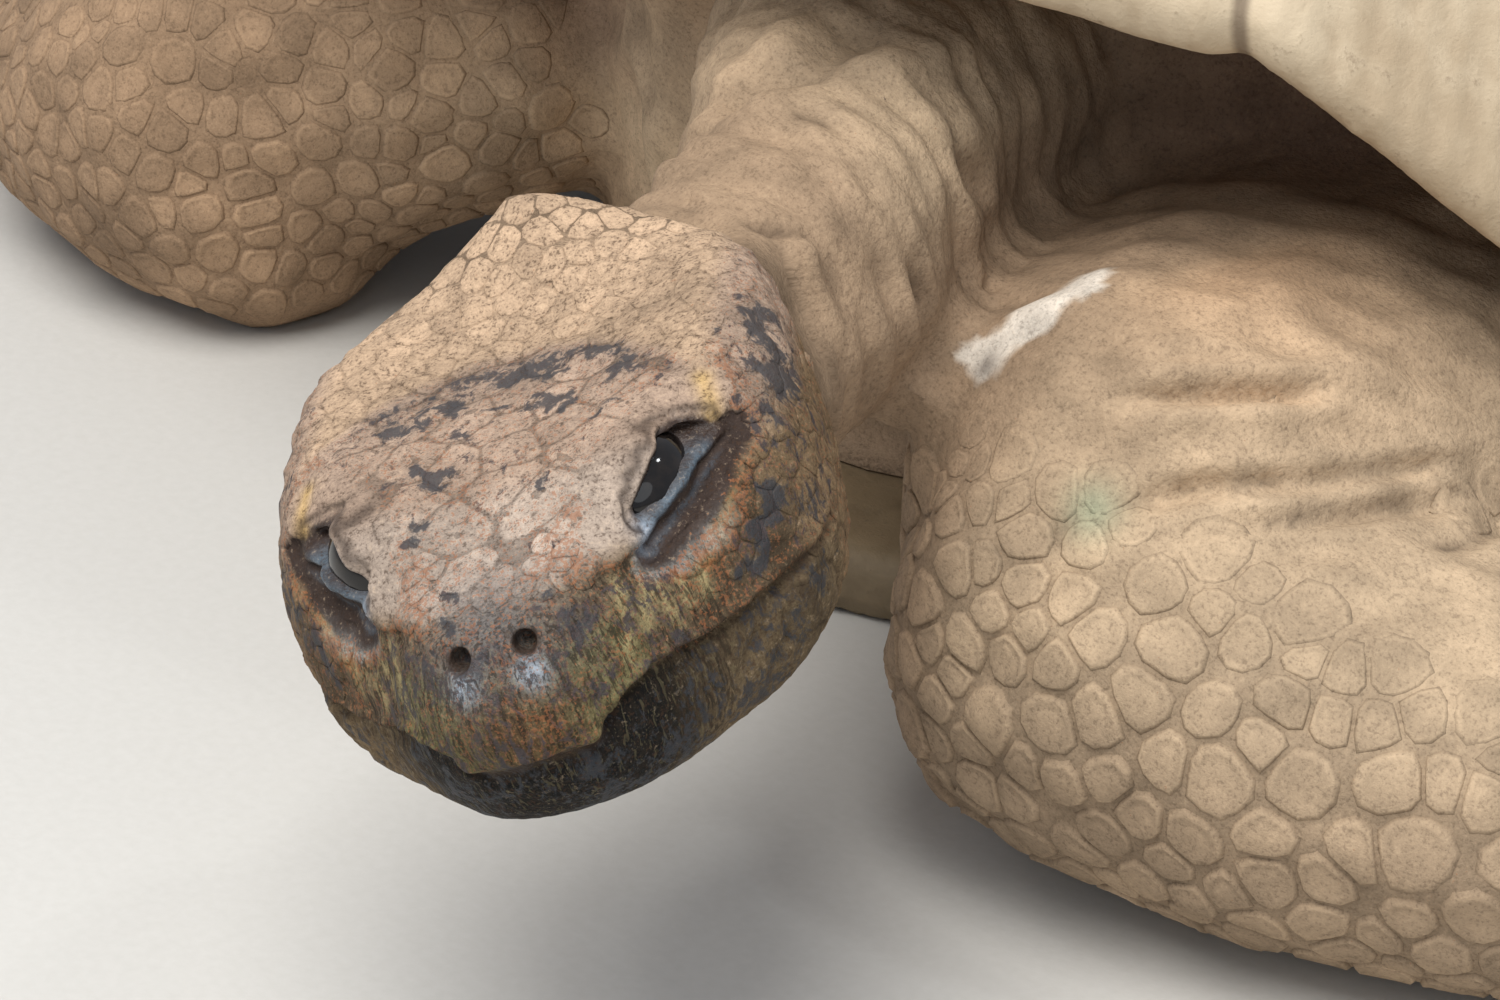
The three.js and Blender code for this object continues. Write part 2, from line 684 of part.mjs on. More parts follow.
// A front leg at rest: the elbow lies forward by the neck, and the forearm along the floor.
function frontLeg(side, name, shift) {
  const s = (x, y, z, w, h) => [side * (x + shift[0]), y + shift[1], z + shift[2], w, h];
  const arm = limb(
    [
      s(178, -290, 106, 200, 130),
      s(198, -358, 102, 206, 136),
      s(214, -422, 100, 186, 154),
      s(226, -456, 95, 152, 160),
    ],
    { rings: 5, around: 14 },
  );
  const forearm = limb(
    [
      s(208, -460, 82, 140, 160),
      s(254, -456, 70, 150, 142),
      s(310, -434, 60, 152, 124),
      s(366, -396, 54, 148, 112),
      s(398, -366, 48, 140, 104),
    ],
    { rings: 6, around: 14, roundStart: true },
  );
  const claws = addClaws(name, CLAWS.front, s(398, -366, 0, 0, 0), side * 132, 62, 6, 23);
  const around = [...bodyCutters, ...neckCutters, FLOOR];
  addPart(tortoise, `${name}_upper`, cut(arm, ...around), FLESH);
  addPart(tortoise, `${name}_lower`, cut(forearm, grown(arm), ...around, ...claws), FLESH);
}

frontLeg(1, "foreleg_left", [0, 0, 0]);
frontLeg(-1, "foreleg_right", [42, 46, -6]);

// A hind leg at rest: the thigh comes out under the shell, and the foot stands flat beside it.
function hindLeg(side, name, shift) {
  const s = (x, y, z, w, h) => [side * (x + shift[0]), y + shift[1], z + shift[2], w, h];
  const thigh = limb(
    [s(150, 300, 104, 170, 130), s(214, 372, 98, 176, 138), s(268, 428, 88, 160, 138)],
    { rings: 4, around: 12 },
  );
  const shin = limb(
    [
      s(262, 432, 84, 132, 124),
      s(296, 462, 62, 138, 122),
      s(322, 484, 38, 142, 112),
      s(336, 496, 14, 146, 110),
    ],
    { rings: 5, around: 13, roundStart: true },
  );
  const claws = addClaws(name, CLAWS.hind, s(328, 490, 0, 0, 0), side * 124, 62, 48, 22);
  const around = [...bodyCutters, FLOOR];
  addPart(tortoise, `${name}_upper`, cut(thigh, ...around), FLESH);
  addPart(tortoise, `${name}_lower`, cut(shin, grown(thigh), ...around, ...claws), FLESH);
}

hindLeg(1, "hindleg_left", [0, 0, 0]);
hindLeg(-1, "hindleg_right", [4, 12, 0]);

// ---------------------------------------------------------------- tail

const tail = limb(
  [
    [0, 400, 78, 96, 78],
    [6, 470, 66, 78, 64],
    [22, 520, 44, 54, 46],
    [44, 552, 24, 32, 30],
    [62, 568, 14, 18, 20],
  ],
  { rings: 7, around: 10 },
);
addPart(tortoise, "tail", cut(tail, ...bodyCutters, FLOOR), FLESH);

// ---------------------------------------------------------------- place

// The part's origin is on the floor, under the middle of the whole animal.
const box = new THREE.Box3().setFromObject(tortoise, true);
const middle = box.getCenter(new THREE.Vector3());
tortoise.position.set(-middle.x, -middle.y, -box.min.z);

export default tortoise;
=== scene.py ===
# %% [markdown]
# # A giant tortoise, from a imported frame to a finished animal
# The solids give every part its place and size. This lesson dresses them: one skin over all the
# flesh, horny scales on the skin, plates with growth rings on the shell, glossy eyes and claws.
# Everything is in metres. +X is the animal's left, it faces -Y, and it lies on the floor at z = 0.

# %% Load the frame
import json
import math
from types import SimpleNamespace

import bpy
import numpy as np
from mathutils import Euler, Matrix, Vector
from mathutils.bvhtree import BVHTree
from mathutils.kdtree import KDTree


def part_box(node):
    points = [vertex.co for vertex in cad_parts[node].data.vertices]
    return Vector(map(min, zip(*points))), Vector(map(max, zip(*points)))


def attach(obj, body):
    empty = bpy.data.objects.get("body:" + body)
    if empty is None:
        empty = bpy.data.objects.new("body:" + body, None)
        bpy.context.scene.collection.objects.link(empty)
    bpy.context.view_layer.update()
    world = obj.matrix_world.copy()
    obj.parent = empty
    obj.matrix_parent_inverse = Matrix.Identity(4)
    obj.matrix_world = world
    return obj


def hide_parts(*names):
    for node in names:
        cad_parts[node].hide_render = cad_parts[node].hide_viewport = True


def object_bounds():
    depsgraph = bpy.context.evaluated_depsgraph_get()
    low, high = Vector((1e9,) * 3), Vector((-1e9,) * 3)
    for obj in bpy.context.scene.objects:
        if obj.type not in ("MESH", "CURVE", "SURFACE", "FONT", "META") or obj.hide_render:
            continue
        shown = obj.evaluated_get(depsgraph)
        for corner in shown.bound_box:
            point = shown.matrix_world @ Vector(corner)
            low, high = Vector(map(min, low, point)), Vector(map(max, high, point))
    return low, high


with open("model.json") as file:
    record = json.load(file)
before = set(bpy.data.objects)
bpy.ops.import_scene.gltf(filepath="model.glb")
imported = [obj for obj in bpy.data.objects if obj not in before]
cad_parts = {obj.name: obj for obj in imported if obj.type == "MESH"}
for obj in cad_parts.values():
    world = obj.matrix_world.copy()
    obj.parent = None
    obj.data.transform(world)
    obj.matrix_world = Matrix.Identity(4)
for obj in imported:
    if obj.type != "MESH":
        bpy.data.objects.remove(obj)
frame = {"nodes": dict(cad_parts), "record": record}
nodes = frame["nodes"]
scene = bpy.context.scene
cad_low, cad_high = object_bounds()
MM = 0.001
print("solids:", len(nodes), "size:", [round(v, 3) for v in cad_high - cad_low])

# %% [markdown]
# ## The head's own axes
# The head is turned and tilted on its neck, so its details are worked out in its own axes: x to the
# animal's left, y backwards, z up, in millimetres from the middle of the skull. The two eyes fix
# where that middle is, which keeps the details on the head wherever the head lies.

# %% Head axes and camera
EYE_MIDDLE = Vector((34.3, -34.8, 15.1))  # of the left eye, in the head's axes
EYE_RADII = (15.5, 13.0, 11.0)  # along the slit, outwards, and across it
EYE_SLIT = Vector((0.524, 0.799, 0.295))
EYE_OUT = Vector((0.849, -0.515, -0.114))
head_turn = (
    Matrix.Rotation(math.radians(42), 3, "Z")
    @ Matrix.Rotation(math.radians(-1), 3, "X")
    @ Matrix.Rotation(math.radians(-20.3), 3, "Y")
)


def middle_of(node):
    low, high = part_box(node)
    return (low + high) / 2


between_eyes = (middle_of("eye_left") + middle_of("eye_right")) / 2
head_middle = between_eyes - head_turn @ Vector((0, EYE_MIDDLE.y, EYE_MIDDLE.z)) * MM
print("middle of the head:", [round(v, 4) for v in head_middle])

HEAD_TURN = np.array(head_turn)
HEAD_MIDDLE = np.array(head_middle)


def in_head(places):
    """Places in metres, in the head's axes and in millimetres."""
    return (places - HEAD_MIDDLE) @ HEAD_TURN / MM


def from_head(places):
    return places @ HEAD_TURN.T * MM + HEAD_MIDDLE


# %% [markdown]
# ## The camera
# A long lens from above and to the front left, close to the head, so that the face fills the
# middle and the folded left foreleg the right of the frame. It is set from the head's middle.

# %% Camera
LENS, SENSOR = 120, 36  # millimetres
CAMERA_FROM_HEAD = Vector((0.8895, -0.7072, 0.5573))
CAMERA_TILT, CAMERA_TURN = 64, 49  # degrees
camera_data = bpy.data.cameras.new("camera")
camera_data.sensor_width = SENSOR
camera_data.lens = LENS
camera_data.clip_end = 50
camera = bpy.data.objects.new("camera", camera_data)
scene.collection.objects.link(camera)
camera.location = head_middle + CAMERA_FROM_HEAD
camera.rotation_euler = Euler((math.radians(CAMERA_TILT), 0, math.radians(CAMERA_TURN)))
scene.camera = camera
print("camera at", [round(v, 3) for v in camera.location])

# %% [markdown]
# ## Floor and light
# The animal lies on a plain pale floor. One large soft lamp stands high in front and a second,
# weaker one fills from the animal's left. A small lamp behind the head only puts a glint in the eye,
# and the pale surroundings keep the shadows open.

# %% Floor and lights
LAMPS = [  # name, place, aim, width, power in watts, colour
    ("key_light", (0.45, -1.55, 2.6), (0.2, -0.5, 0.1), 2.2, 92, (1.0, 0.98, 0.95)),
    ("fill_light", (2.2, -1.6, 1.4), (0.2, -0.4, 0.1), 1.8, 9, (0.93, 0.97, 1.0)),
    ("catch_light", (0.8, 0.05, 2.02), (0.28, -0.6, 0.2), 0.2, 3, (0.95, 0.98, 1.0)),
]
SURROUNDINGS, SURROUNDINGS_STRENGTH = (0.85, 0.9, 1.0, 1), 0.52
FLOOR_WIDTH = 14
bpy.ops.mesh.primitive_plane_add(size=FLOOR_WIDTH, location=(0, 0, 0))
floor = bpy.context.object
floor.name = "floor"


def lamp(name, place, aim, width, power, color):
    data = bpy.data.lights.new(name, "AREA")
    data.shape = "DISK"
    data.size = width
    data.energy = power
    data.color = color
    shine = bpy.data.objects.new(name, data)
    scene.collection.objects.link(shine)
    shine.location = place
    shine.rotation_euler = (Vector(aim) - Vector(place)).to_track_quat("-Z", "Y").to_euler()


for values in LAMPS:
    lamp(*values)
world = bpy.data.worlds.new("surroundings")
scene.world = world
world.use_nodes = True
background = world.node_tree.nodes["Background"].inputs
background["Color"].default_value = SURROUNDINGS
background["Strength"].default_value = SURROUNDINGS_STRENGTH
scene.view_settings.view_transform = "Standard"
print("lamps:", [name for name, *_ in LAMPS])

# %% [markdown]
# ## Small helpers for shapes
# Blender's operators act on whatever is selected, so one helper selects exactly what is meant.
# The others move a mesh's points between Blender and numpy, where a whole surface is shaped at once.


# %% Selecting, modifiers, and points as arrays
def only(*objects):
    bpy.ops.object.select_all(action="DESELECT")
    for thing in objects:
        thing.select_set(True)
    bpy.context.view_layer.objects.active = objects[0]


def apply_modifier(thing, kind, **settings):
    only(thing)
    bpy.ops.object.modifier_add(type=kind)
    modifier = thing.modifiers[-1]
    for name, value in settings.items():
        setattr(modifier, name, value)
    bpy.ops.object.modifier_apply(modifier=modifier.name)


def read(items, field, width=1, kind=np.float32):
    """One field of every point, edge, face or corner, as an array with a row for each."""
    values = np.empty(len(items) * width, kind)
    items.foreach_get(field, values)
    return values.reshape(-1, width) if width > 1 else values


def points_of(thing):
    return read(thing.data.vertices, "co", 3).astype(float)


def set_points(thing, points):
    thing.data.vertices.foreach_set("co", points.astype(np.float32).ravel())
    thing.data.update()


def normals_of(thing):
    return read(thing.data.vertex_normals, "vector", 3).astype(float)


def edges_of(thing):
    return read(thing.data.edges, "vertices", 2, np.int32)


# %% Values spread over a mesh
def neighbour_mean(ends, values, count):
    total = np.zeros_like(values)
    for column in range(values.shape[1]):
        total[:, column] = np.bincount(ends[:, 0], values[ends[:, 1], column], len(values))
        total[:, column] += np.bincount(ends[:, 1], values[ends[:, 0], column], len(values))
    return total / count[:, None]


def smoothed(thing, values, rounds, share=0.5, back=0.0):
    """Values spread to their neighbours; back undoes the shrinking that this gives a shape."""
    ends = edges_of(thing)
    count = np.maximum(np.bincount(ends.ravel(), minlength=len(values)), 1)
    flat = values.reshape(len(values), -1).astype(float)
    for _ in range(rounds):
        flat = flat + share * (neighbour_mean(ends, flat, count) - flat)
        if back:
            flat = flat - back * (neighbour_mean(ends, flat, count) - flat)
    return flat.reshape(values.shape)


# %% Copies of solids, and chosen faces
def joined_copy(name, *names):
    """A new object from copies of some solids, with their loose triangles merged."""
    copies = []
    for node in names:
        piece = bpy.data.objects.new(name, nodes[node].data.copy())
        piece.data.materials.clear()
        scene.collection.objects.link(piece)
        copies.append(piece)
    only(*copies)
    if len(copies) > 1:
        bpy.ops.object.join()
    joined = bpy.context.view_layer.objects.active
    joined.name = joined.data.name = name
    bpy.ops.object.mode_set(mode="EDIT")
    bpy.ops.mesh.select_all(action="SELECT")
    bpy.ops.mesh.remove_doubles(threshold=1e-5)
    bpy.ops.object.mode_set(mode="OBJECT")
    for custom in list(joined.keys()):
        del joined[custom]
    return joined


def select_faces(thing, chosen):
    """Goes into edit mode with exactly these faces selected."""
    only(thing)
    bpy.ops.object.mode_set(mode="EDIT")
    bpy.ops.mesh.select_mode(type="FACE")
    bpy.ops.mesh.select_all(action="DESELECT")
    bpy.ops.object.mode_set(mode="OBJECT")
    thing.data.polygons.foreach_set("select", chosen)
    bpy.ops.object.mode_set(mode="EDIT")


def face_middles(thing):
    return read(thing.data.polygons, "center", 3).astype(float)


def triangles(thing):
    return sum(len(face.vertices) - 2 for face in thing.data.polygons)


# %% Soft steps, distances and noise
def ramp(low, high, value):
    """0 at the low value, 1 at the high one, smooth in between. The low one may be the larger."""
    share = np.clip((value - low) / (high - low), 0, 1)
    return share * share * (3 - 2 * share)


def hump(value, width):
    """1 at zero, fading away on both sides."""
    return np.exp(-((value / width) ** 2))


def path_distance(points, path):
    """The distance of each point from a broken line, and how far along the line it lies (0 to 1)."""
    path = np.asarray(path, float)
    best = np.full(len(points), 1e9)
    along = np.zeros(len(points))
    for i, (a, b) in enumerate(zip(path[:-1], path[1:])):
        step = b - a
        share = np.clip(((points - a) @ step) / (step @ step), 0, 1)
        away = np.linalg.norm(points - a - share[:, None] * step, axis=1)
        nearer = away < best
        best[nearer] = away[nearer]
        along[nearer] = (i + share[nearer]) / (len(path) - 1)
    return best, along


class Ripples:
    """Smooth seeded noise over space: a sum of waves in random directions, between about -1 and 1."""

    def __init__(self, seed, size, waves=14, stretch=(1, 1, 1)):
        draw = np.random.default_rng(seed)
        way = draw.normal(size=(waves, 3))
        way /= np.linalg.norm(way, axis=1)[:, None]
        length = size * draw.uniform(0.6, 1.6, (waves, 1))
        self.way = way / np.asarray(stretch) * 2 * math.pi / length
        self.start = draw.uniform(0, 2 * math.pi, waves)

    def __call__(self, points):
        return np.sin(points @ self.way.T + self.start).sum(1) / math.sqrt(len(self.start) * 0.8)


# %% [markdown]
# ## One skin over the flesh
# Head, neck, trunk, legs and tail are separate solids, but one hide covers them all. Copies of the
# solids are joined and remeshed in small cubes, which closes the thin cuts between them. What the
# shell hides is thinned out again, so that the points are where the folds are.

# %% Join, remesh and thin the hidden part
FLESH = [
    name
    for name in sorted(nodes)
    if name in ("head", "lower_jaw", "trunk", "tail")
    or name.startswith("neck")
    or name.endswith(("_upper", "_lower"))
]
SHELL_KINDS = ("vertebral", "costal", "rim", "plastron", "bridge")
SHELL = [name for name in sorted(nodes) if name.startswith(SHELL_KINDS)]
VOXEL = 0.0064
HIDDEN_KEPT = 0.06  # the share of the hidden faces that is left

skin = joined_copy("skin", *FLESH, "eye_left", "eye_right")
apply_modifier(skin, "REMESH", mode="VOXEL", voxel_size=VOXEL, adaptivity=0)
set_points(skin, smoothed(skin, points_of(skin), 3, 0.5, 0.52))
print("remeshed skin:", len(skin.data.polygons), "faces")


def tree_of(*names):
    """One search tree over several solids, and for each of its triangles which solid it is in."""
    corners, faces, owner = [], [], []
    for number, name in enumerate(names):
        data = nodes[name].data
        start = len(corners)
        corners += [v.co.copy() for v in data.vertices]
        for face in data.polygons:
            faces.append([start + i for i in face.vertices])
            owner.append(number)
    return BVHTree.FromPolygons(corners, faces), owner


shell_tree, _ = tree_of(*SHELL)


def open_ways(points, tree):
    """How many of 24 ways out, a little down, level and up, the shell leaves open at each point."""
    ways = [
        Vector((math.sin(turn) * math.cos(rise), math.cos(turn) * math.cos(rise), math.sin(rise)))
        for rise in (-0.25, 0.15, 0.8)
        for turn in np.arange(0, 2 * math.pi, math.pi / 4)
    ]
    return np.array([sum(tree.ray_cast(Vector(p), way)[0] is None for way in ways) for p in points])


def owners(points, names):
    tree, owner = tree_of(*names)
    return np.array([owner[tree.find_nearest(Vector(p))[2]] for p in points])


middles = face_middles(skin)
under_the_front = (middles[:, 1] < -0.2) & (middles[:, 2] > 0.04)
hidden = open_ways(middles, shell_tree) < np.where(under_the_front, 6, 9)
select_faces(skin, hidden)
bpy.ops.mesh.decimate(ratio=HIDDEN_KEPT)
bpy.ops.object.mode_set(mode="OBJECT")
print("hidden faces thinned:", int(hidden.sum()), "->", len(skin.data.polygons), "left in all")

# %% [markdown]
# ## Laying the skin out flat
# The skin is unwrapped onto a sheet while its faces are still few. Half the sheet goes to the head,
# where the markings are finest. The scales' roots look their places up on the same sheet.


# %% Unwrap
def unwrap(thing, chosen, left, right):
    """Lays some faces of a mesh out between two sides of its sheet."""
    select_faces(thing, chosen)
    bpy.ops.uv.smart_project(angle_limit=math.radians(66), island_margin=0.002)
    bpy.ops.object.mode_set(mode="OBJECT")
    sheet = thing.data.uv_layers.active.data
    flat = read(sheet, "uv", 2)
    corners = np.repeat(chosen, read(thing.data.polygons, "loop_total", kind=np.int32))
    flat[corners, 0] = left + flat[corners, 0] * (right - left)
    sheet.foreach_set("uv", flat.ravel())


only(skin)
skin.data.uv_layers.new(name="OFBake")
of_head = np.isin(np.array(FLESH)[owners(face_middles(skin), FLESH)], ("head", "lower_jaw"))
unwrap(skin, of_head, 0.0, 0.495)
unwrap(skin, ~of_head, 0.505, 1.0)
print("unwrapped:", int(of_head.sum()), "faces of the head and", int((~of_head).sum()), "of the body")

# %% [markdown]
# ## Finer where it shows
# Faces are divided by where they lie: once over the neck and the left foreleg, twice over the head,
# and three times round the eyes, the nostrils and the mouth, whose edges are the finest forms. The
# routes of the mouth and the creases behind it are in the head's axes.


# %% Divide the skin by place
def divide(chosen):
    select_faces(skin, chosen)
    bpy.ops.mesh.subdivide(number_cuts=1, smoothness=0)
    bpy.ops.object.mode_set(mode="OBJECT")


def mirrored(places):
    """Head places with the animal's right laid over its left, since a face is nearly symmetrical."""
    return np.column_stack([np.abs(places[:, 0]), places[:, 1], places[:, 2]])


BALL = np.array(EYE_MIDDLE)
SLIT, OUTWARD = np.array(EYE_SLIT), np.array(EYE_OUT)
SLIT = SLIT / np.linalg.norm(SLIT)
OUTWARD = OUTWARD - OUTWARD @ SLIT * SLIT
OUTWARD = OUTWARD / np.linalg.norm(OUTWARD)
ACROSS = np.cross(OUTWARD, SLIT)
NOSTRIL = np.array([8.8, -87.3, 3.5])
MOUTH_CORNER = (57, -41, -19.5)
MOUTH = [
    *((0, -90, -25), (14, -85, -27), (24, -83, -20.5), (33, -72, -18)),
    *((42, -58, -20.5), (49, -51, -20.5), MOUTH_CORNER),
]
CHEEK_CREASE = [MOUTH_CORNER, (62, -33, -19.5), (68, -18, -18), (70, -6, -15)]
JAW_CREASE = [MOUTH_CORNER, (63, -34, -24), (66, -29, -33), (64, -29, -42), (58, -34, -48)]


def eye_places(mirror_places):
    """Places from the middle of the eyeball: along the slit, across it, and outwards."""
    away = mirror_places - BALL
    return away @ SLIT, away @ ACROSS, away @ OUTWARD


for level in range(3):
    middles = face_middles(skin)
    near = in_head(middles)
    part = owners(middles, FLESH)
    names = np.array(FLESH)[part]
    is_head = np.isin(names, ("head", "lower_jaw"))
    if level == 0:
        limbs = np.array([("neck" in n) or n.startswith("foreleg_left") for n in names])
        pocket = (names == "trunk") & (middles[:, 1] < -0.2) & (middles[:, 0] > -0.12)
        pocket &= middles[:, 2] > 0.06
        shown = (open_ways(middles, shell_tree) > 5) & (middles[:, 2] > 0.012)
        divide(is_head | ((limbs | pocket) & shown))
        continue
    if level == 1:
        divide(is_head & (near[:, 1] < 66) & (near[:, 2] > -52))
        continue
    fold = mirrored(near)
    u, w, g = eye_places(fold)
    at_eye = (np.hypot(u / 21, (w + 2) / 14) < 1) & (g > -4)
    at_nose = np.linalg.norm(fold - NOSTRIL, axis=1) < 8
    at_mouth = path_distance(fold, MOUTH)[0] < 3.6
    at_crease = path_distance(fold, CHEEK_CREASE)[0] < 2.6
    at_crease |= path_distance(fold, JAW_CREASE)[0] < 2.6
    divide(is_head & (at_eye | at_nose | at_mouth | at_crease))
set_points(skin, smoothed(skin, points_of(skin), 4, 0.5, 0.5))
print("divided skin:", len(skin.data.polygons), "faces,", triangles(skin), "triangles")

# %% [markdown]
# ## The eyelids
# A tortoise's lid margins are drawn over the ball, so the skin is shaped outwards from the slit.
# First it is stretched flat over the socket like a drum. Then its height over the ball's own axes is
# set from one distance, e, outwards from the slit: a smooth round margin, a dark crease, the
# wrinkled pouch of the lower lid, and a ridge where the lids end. Inside the slit the skin sinks
# under the ball. Both eyes come from the left one, with the head's right laid over its left.


# %% The slit and distances from it
SLIT_MIDDLE = 3.2  # along the slit, in millimetres from the ball's middle
SLIT_LONG, SLIT_TALL = 15.4, 3.1  # half its length and half its opening
POUCH_END = 11.5  # where the lower lid's pouch ends, as a distance from the slit


def lid_line(u):
    """The middle of the slit, measured across it, at a place along it."""
    return 5.4 - 0.012 * np.minimum((u - 3) ** 2, 400)


def past_slit(u, w):
    """How far outside the slit a place lies, in millimetres, and negative inside it."""
    long, tall = (u - SLIT_MIDDLE) / SLIT_LONG, (w - lid_line(u)) / SLIT_TALL
    reach = np.maximum(np.hypot(long, tall), 0.05)
    slope = np.maximum(np.hypot(long / SLIT_LONG, tall / SLIT_TALL) / reach, 1 / SLIT_LONG)
    return (reach - 1) / slope


def under_the_slit(u, w):
    """1 on the lower lid, 0 on the upper one."""
    return ramp(1.5, -1.5, w - lid_line(u))


def past_lids(u, w):
    """The same distance, stretched so that the lower lid's pouch always ends at POUCH_END."""
    e = past_slit(u, w)
    pouch_end = 5.5 + 8.0 * hump(u + 1, 16)
    lower = np.where(e > 3, 3 + (e - 3) * (POUCH_END - 3) / (pouch_end - 3), e)
    upper = np.where(e > 3, 3 + (e - 3) * 1.35, e)
    below = under_the_slit(u, w)
    return below * lower + (1 - below) * upper


# %% Lids
lid_wrinkles = Ripples(11, 2.2)


def ball_height(u, w, more=0):
    """How far out the eyeball reaches, or a ball larger by some millimetres."""
    long, out, across = np.array(EYE_RADII) + more
    return out * np.sqrt(np.clip(1 - (u / long) ** 2 - (w / across) ** 2, 0, 1))


def lid_height(u, w, drum):
    """The height of the lids over the ball's axes, from the drum's, and the distance past them."""
    ball = ball_height(u, w)
    e = past_lids(u, w)
    clear_of_it = ball + (ball_height(u, w, 1.7) - ball) * ramp(0, 2, e)
    over = np.maximum(ball, drum - 1.5)
    pouch = np.maximum(over * (1 - ramp(2, 8, e)) + (drum - 1.0) * ramp(2, 8, e), ball + 1.4)
    wrinkle = lid_wrinkles(np.column_stack([u * 0.25, w, np.zeros_like(u)]))
    lower = pouch - 0.3 + 0.3 * wrinkle * ramp(3, 5, e) * (1 - ramp(9, 12, e))
    lower += 1.4 * hump(e - 1.2, 1.4) - 1.1 * hump(e - 3.4, 0.8) + 1.2 * hump(e - POUCH_END, 2.2)
    upper = over * (1 - ramp(1, 5, e)) + (drum + 1.8) * ramp(1, 5, e)
    upper = np.maximum(upper, clear_of_it)
    upper += 0.6 * hump(e - 1.2, 1.4) + 0.2 * wrinkle * ramp(2, 4, e)
    below = under_the_slit(u, w)
    shaped = np.maximum(below * lower + (1 - below) * upper, clear_of_it)
    corner = 1.4 * hump(np.hypot((u + 16.5) / 3.4, (w - 0.2) / 2.6), 1)
    sunk = ramp(0.3, -0.9, e)
    return (shaped + corner) * (1 - sunk) + np.maximum(ball - 2.6, drum - 6) * sunk, e


def eye_distance(points):
    """How far each point is outside the nearer eye's slit, and 99 well away from both."""
    u, w, g = eye_places(mirrored(in_head(points)))
    return np.where(g > -5, past_lids(u, w), 99)


def drumskin(thing, mask, rounds):
    """Draws the points inside a mask flat between the points around them."""
    ends = edges_of(thing)
    inside = mask > 0
    ends = ends[inside[ends[:, 0]] | inside[ends[:, 1]]]
    here = np.unique(ends)
    number = np.full(len(mask), -1)
    number[here] = np.arange(len(here))
    ends = number[ends]
    count = np.maximum(np.bincount(ends.ravel(), minlength=len(here)), 1)
    points = points_of(thing)
    local = points[here]
    for _ in range(rounds):
        local += 0.8 * mask[here, None] * (neighbour_mean(ends, local, count) - local)
    points[here] = local
    set_points(thing, points)


def one_side(points, side):
    """Head places with the chosen eye's side laid over the left, and their places at the eye."""
    near = in_head(points)
    near[:, 0] *= side
    return near, *eye_places(near)


for side in (1, -1):
    near, u, w, g = one_side(points_of(skin), side)
    at_socket = (g > -3) * (near[:, 0] > 5)
    drumskin(skin, (1 - ramp(9, 14, past_lids(u, w))) * at_socket, 160)
    near, u, w, g = one_side(points_of(skin), side)
    height, e = lid_height(u, w, g)
    share = (1 - ramp(11, 15.5, e)) * (g > -3) * (near[:, 0] > 5)
    near += (share * (height - g))[:, None] * OUTWARD
    near[:, 0] *= side
    set_points(skin, from_head(near))
    middle = np.argmin(np.hypot(u, w) + (g < 0) * 99)
    print("lid drum over the ball's middle:", round(float(g[middle]), 1), "mm")

# %% [markdown]
# ## Nostrils, mouth and creases of the face
# The nostrils are short round pits. The mouth is a groove along the edge of the beak, with a lip
# above it and the lower jaw set back below. The folds behind its corner are shallower grooves along
# routes of a few points each. All of these move the skin along its own normals.


# %% Grooves
FACE_FURROW_DEPTH = 1.5
FACE_FURROWS = [  # from, to, and how many times that depth, with the head's right laid over its left
    ((28, -62, 12), (19, -88, -19), 0.9),
    ((61, -27, -24), (52, -42, -40), 1.1),
    ((54, -40, -24), (46, -52, -36), 0.9),
    ((70, -8, -24), (66, -18, -42), 1.2),
    ((36, -66, -6), (32, -74, -20), 0.6),
    ((66, -22, 6), (69, -12, -14), 0.6),
]


def furrow(points, path, depth, width, bank=0.3, fade=0.12):
    """A groove along a route, with a low bank on both sides, fading out at its ends."""
    away, along = path_distance(points, path)
    ends = ramp(0, fade, along) * ramp(1, 1 - fade, along) if fade else 1
    return ends * depth * (bank * hump(away - 2.4 * width, 1.1 * width) - hump(away, width))


def away_from(points, place):
    return np.linalg.norm(points - np.asarray(place), axis=1)


def above_path(points, path):
    """The height of each point over the nearest place of a route."""
    path = np.asarray(path, float)
    order = np.argsort(path[:, 1])
    return points[:, 2] - np.interp(points[:, 1], path[order, 1], path[order, 2])


points = points_of(skin)
near = in_head(points)
fold = mirrored(near)
on_head = (near[:, 1] < 80) & (np.linalg.norm(near, axis=1) < 130)
rise = furrow(fold, MOUTH, 3.4, 1.3, bank=0.0, fade=0)
lip = above_path(fold, MOUTH)
mouth_away, _ = path_distance(fold, MOUTH)
upper_lip = 1.3 * hump(lip - 2.4, 1.8) * ramp(6, 3, mouth_away)
rise += upper_lip - 1.5 * hump(lip + 2.8, 2.6) * ramp(8, 3, mouth_away)
rise += furrow(fold, CHEEK_CREASE, 3.0, 1.4) + furrow(fold, JAW_CREASE, 3.0, 1.4)
for start, end, times in FACE_FURROWS:
    rise += furrow(fold, [start, end], FACE_FURROW_DEPTH * times, 1.4)
for along_x in (6, -14):  # wrinkles that cross the bridge of the snout
    rise += furrow(near, [(along_x, -66, 26), (along_x + 11, -72, 20)], 0.7, 1.2)
rough = Ripples(21, 9)
fine_rough = Ripples(22, 4)
beaded = ramp(-50, -30, near[:, 2])
rise += 0.35 * rough(near) * beaded + 0.14 * fine_rough(near)
points += normals_of(skin) * (rise * on_head)[:, None] * MM
print("deepest groove of the face:", round(-float((rise * on_head).min()), 1), "mm")

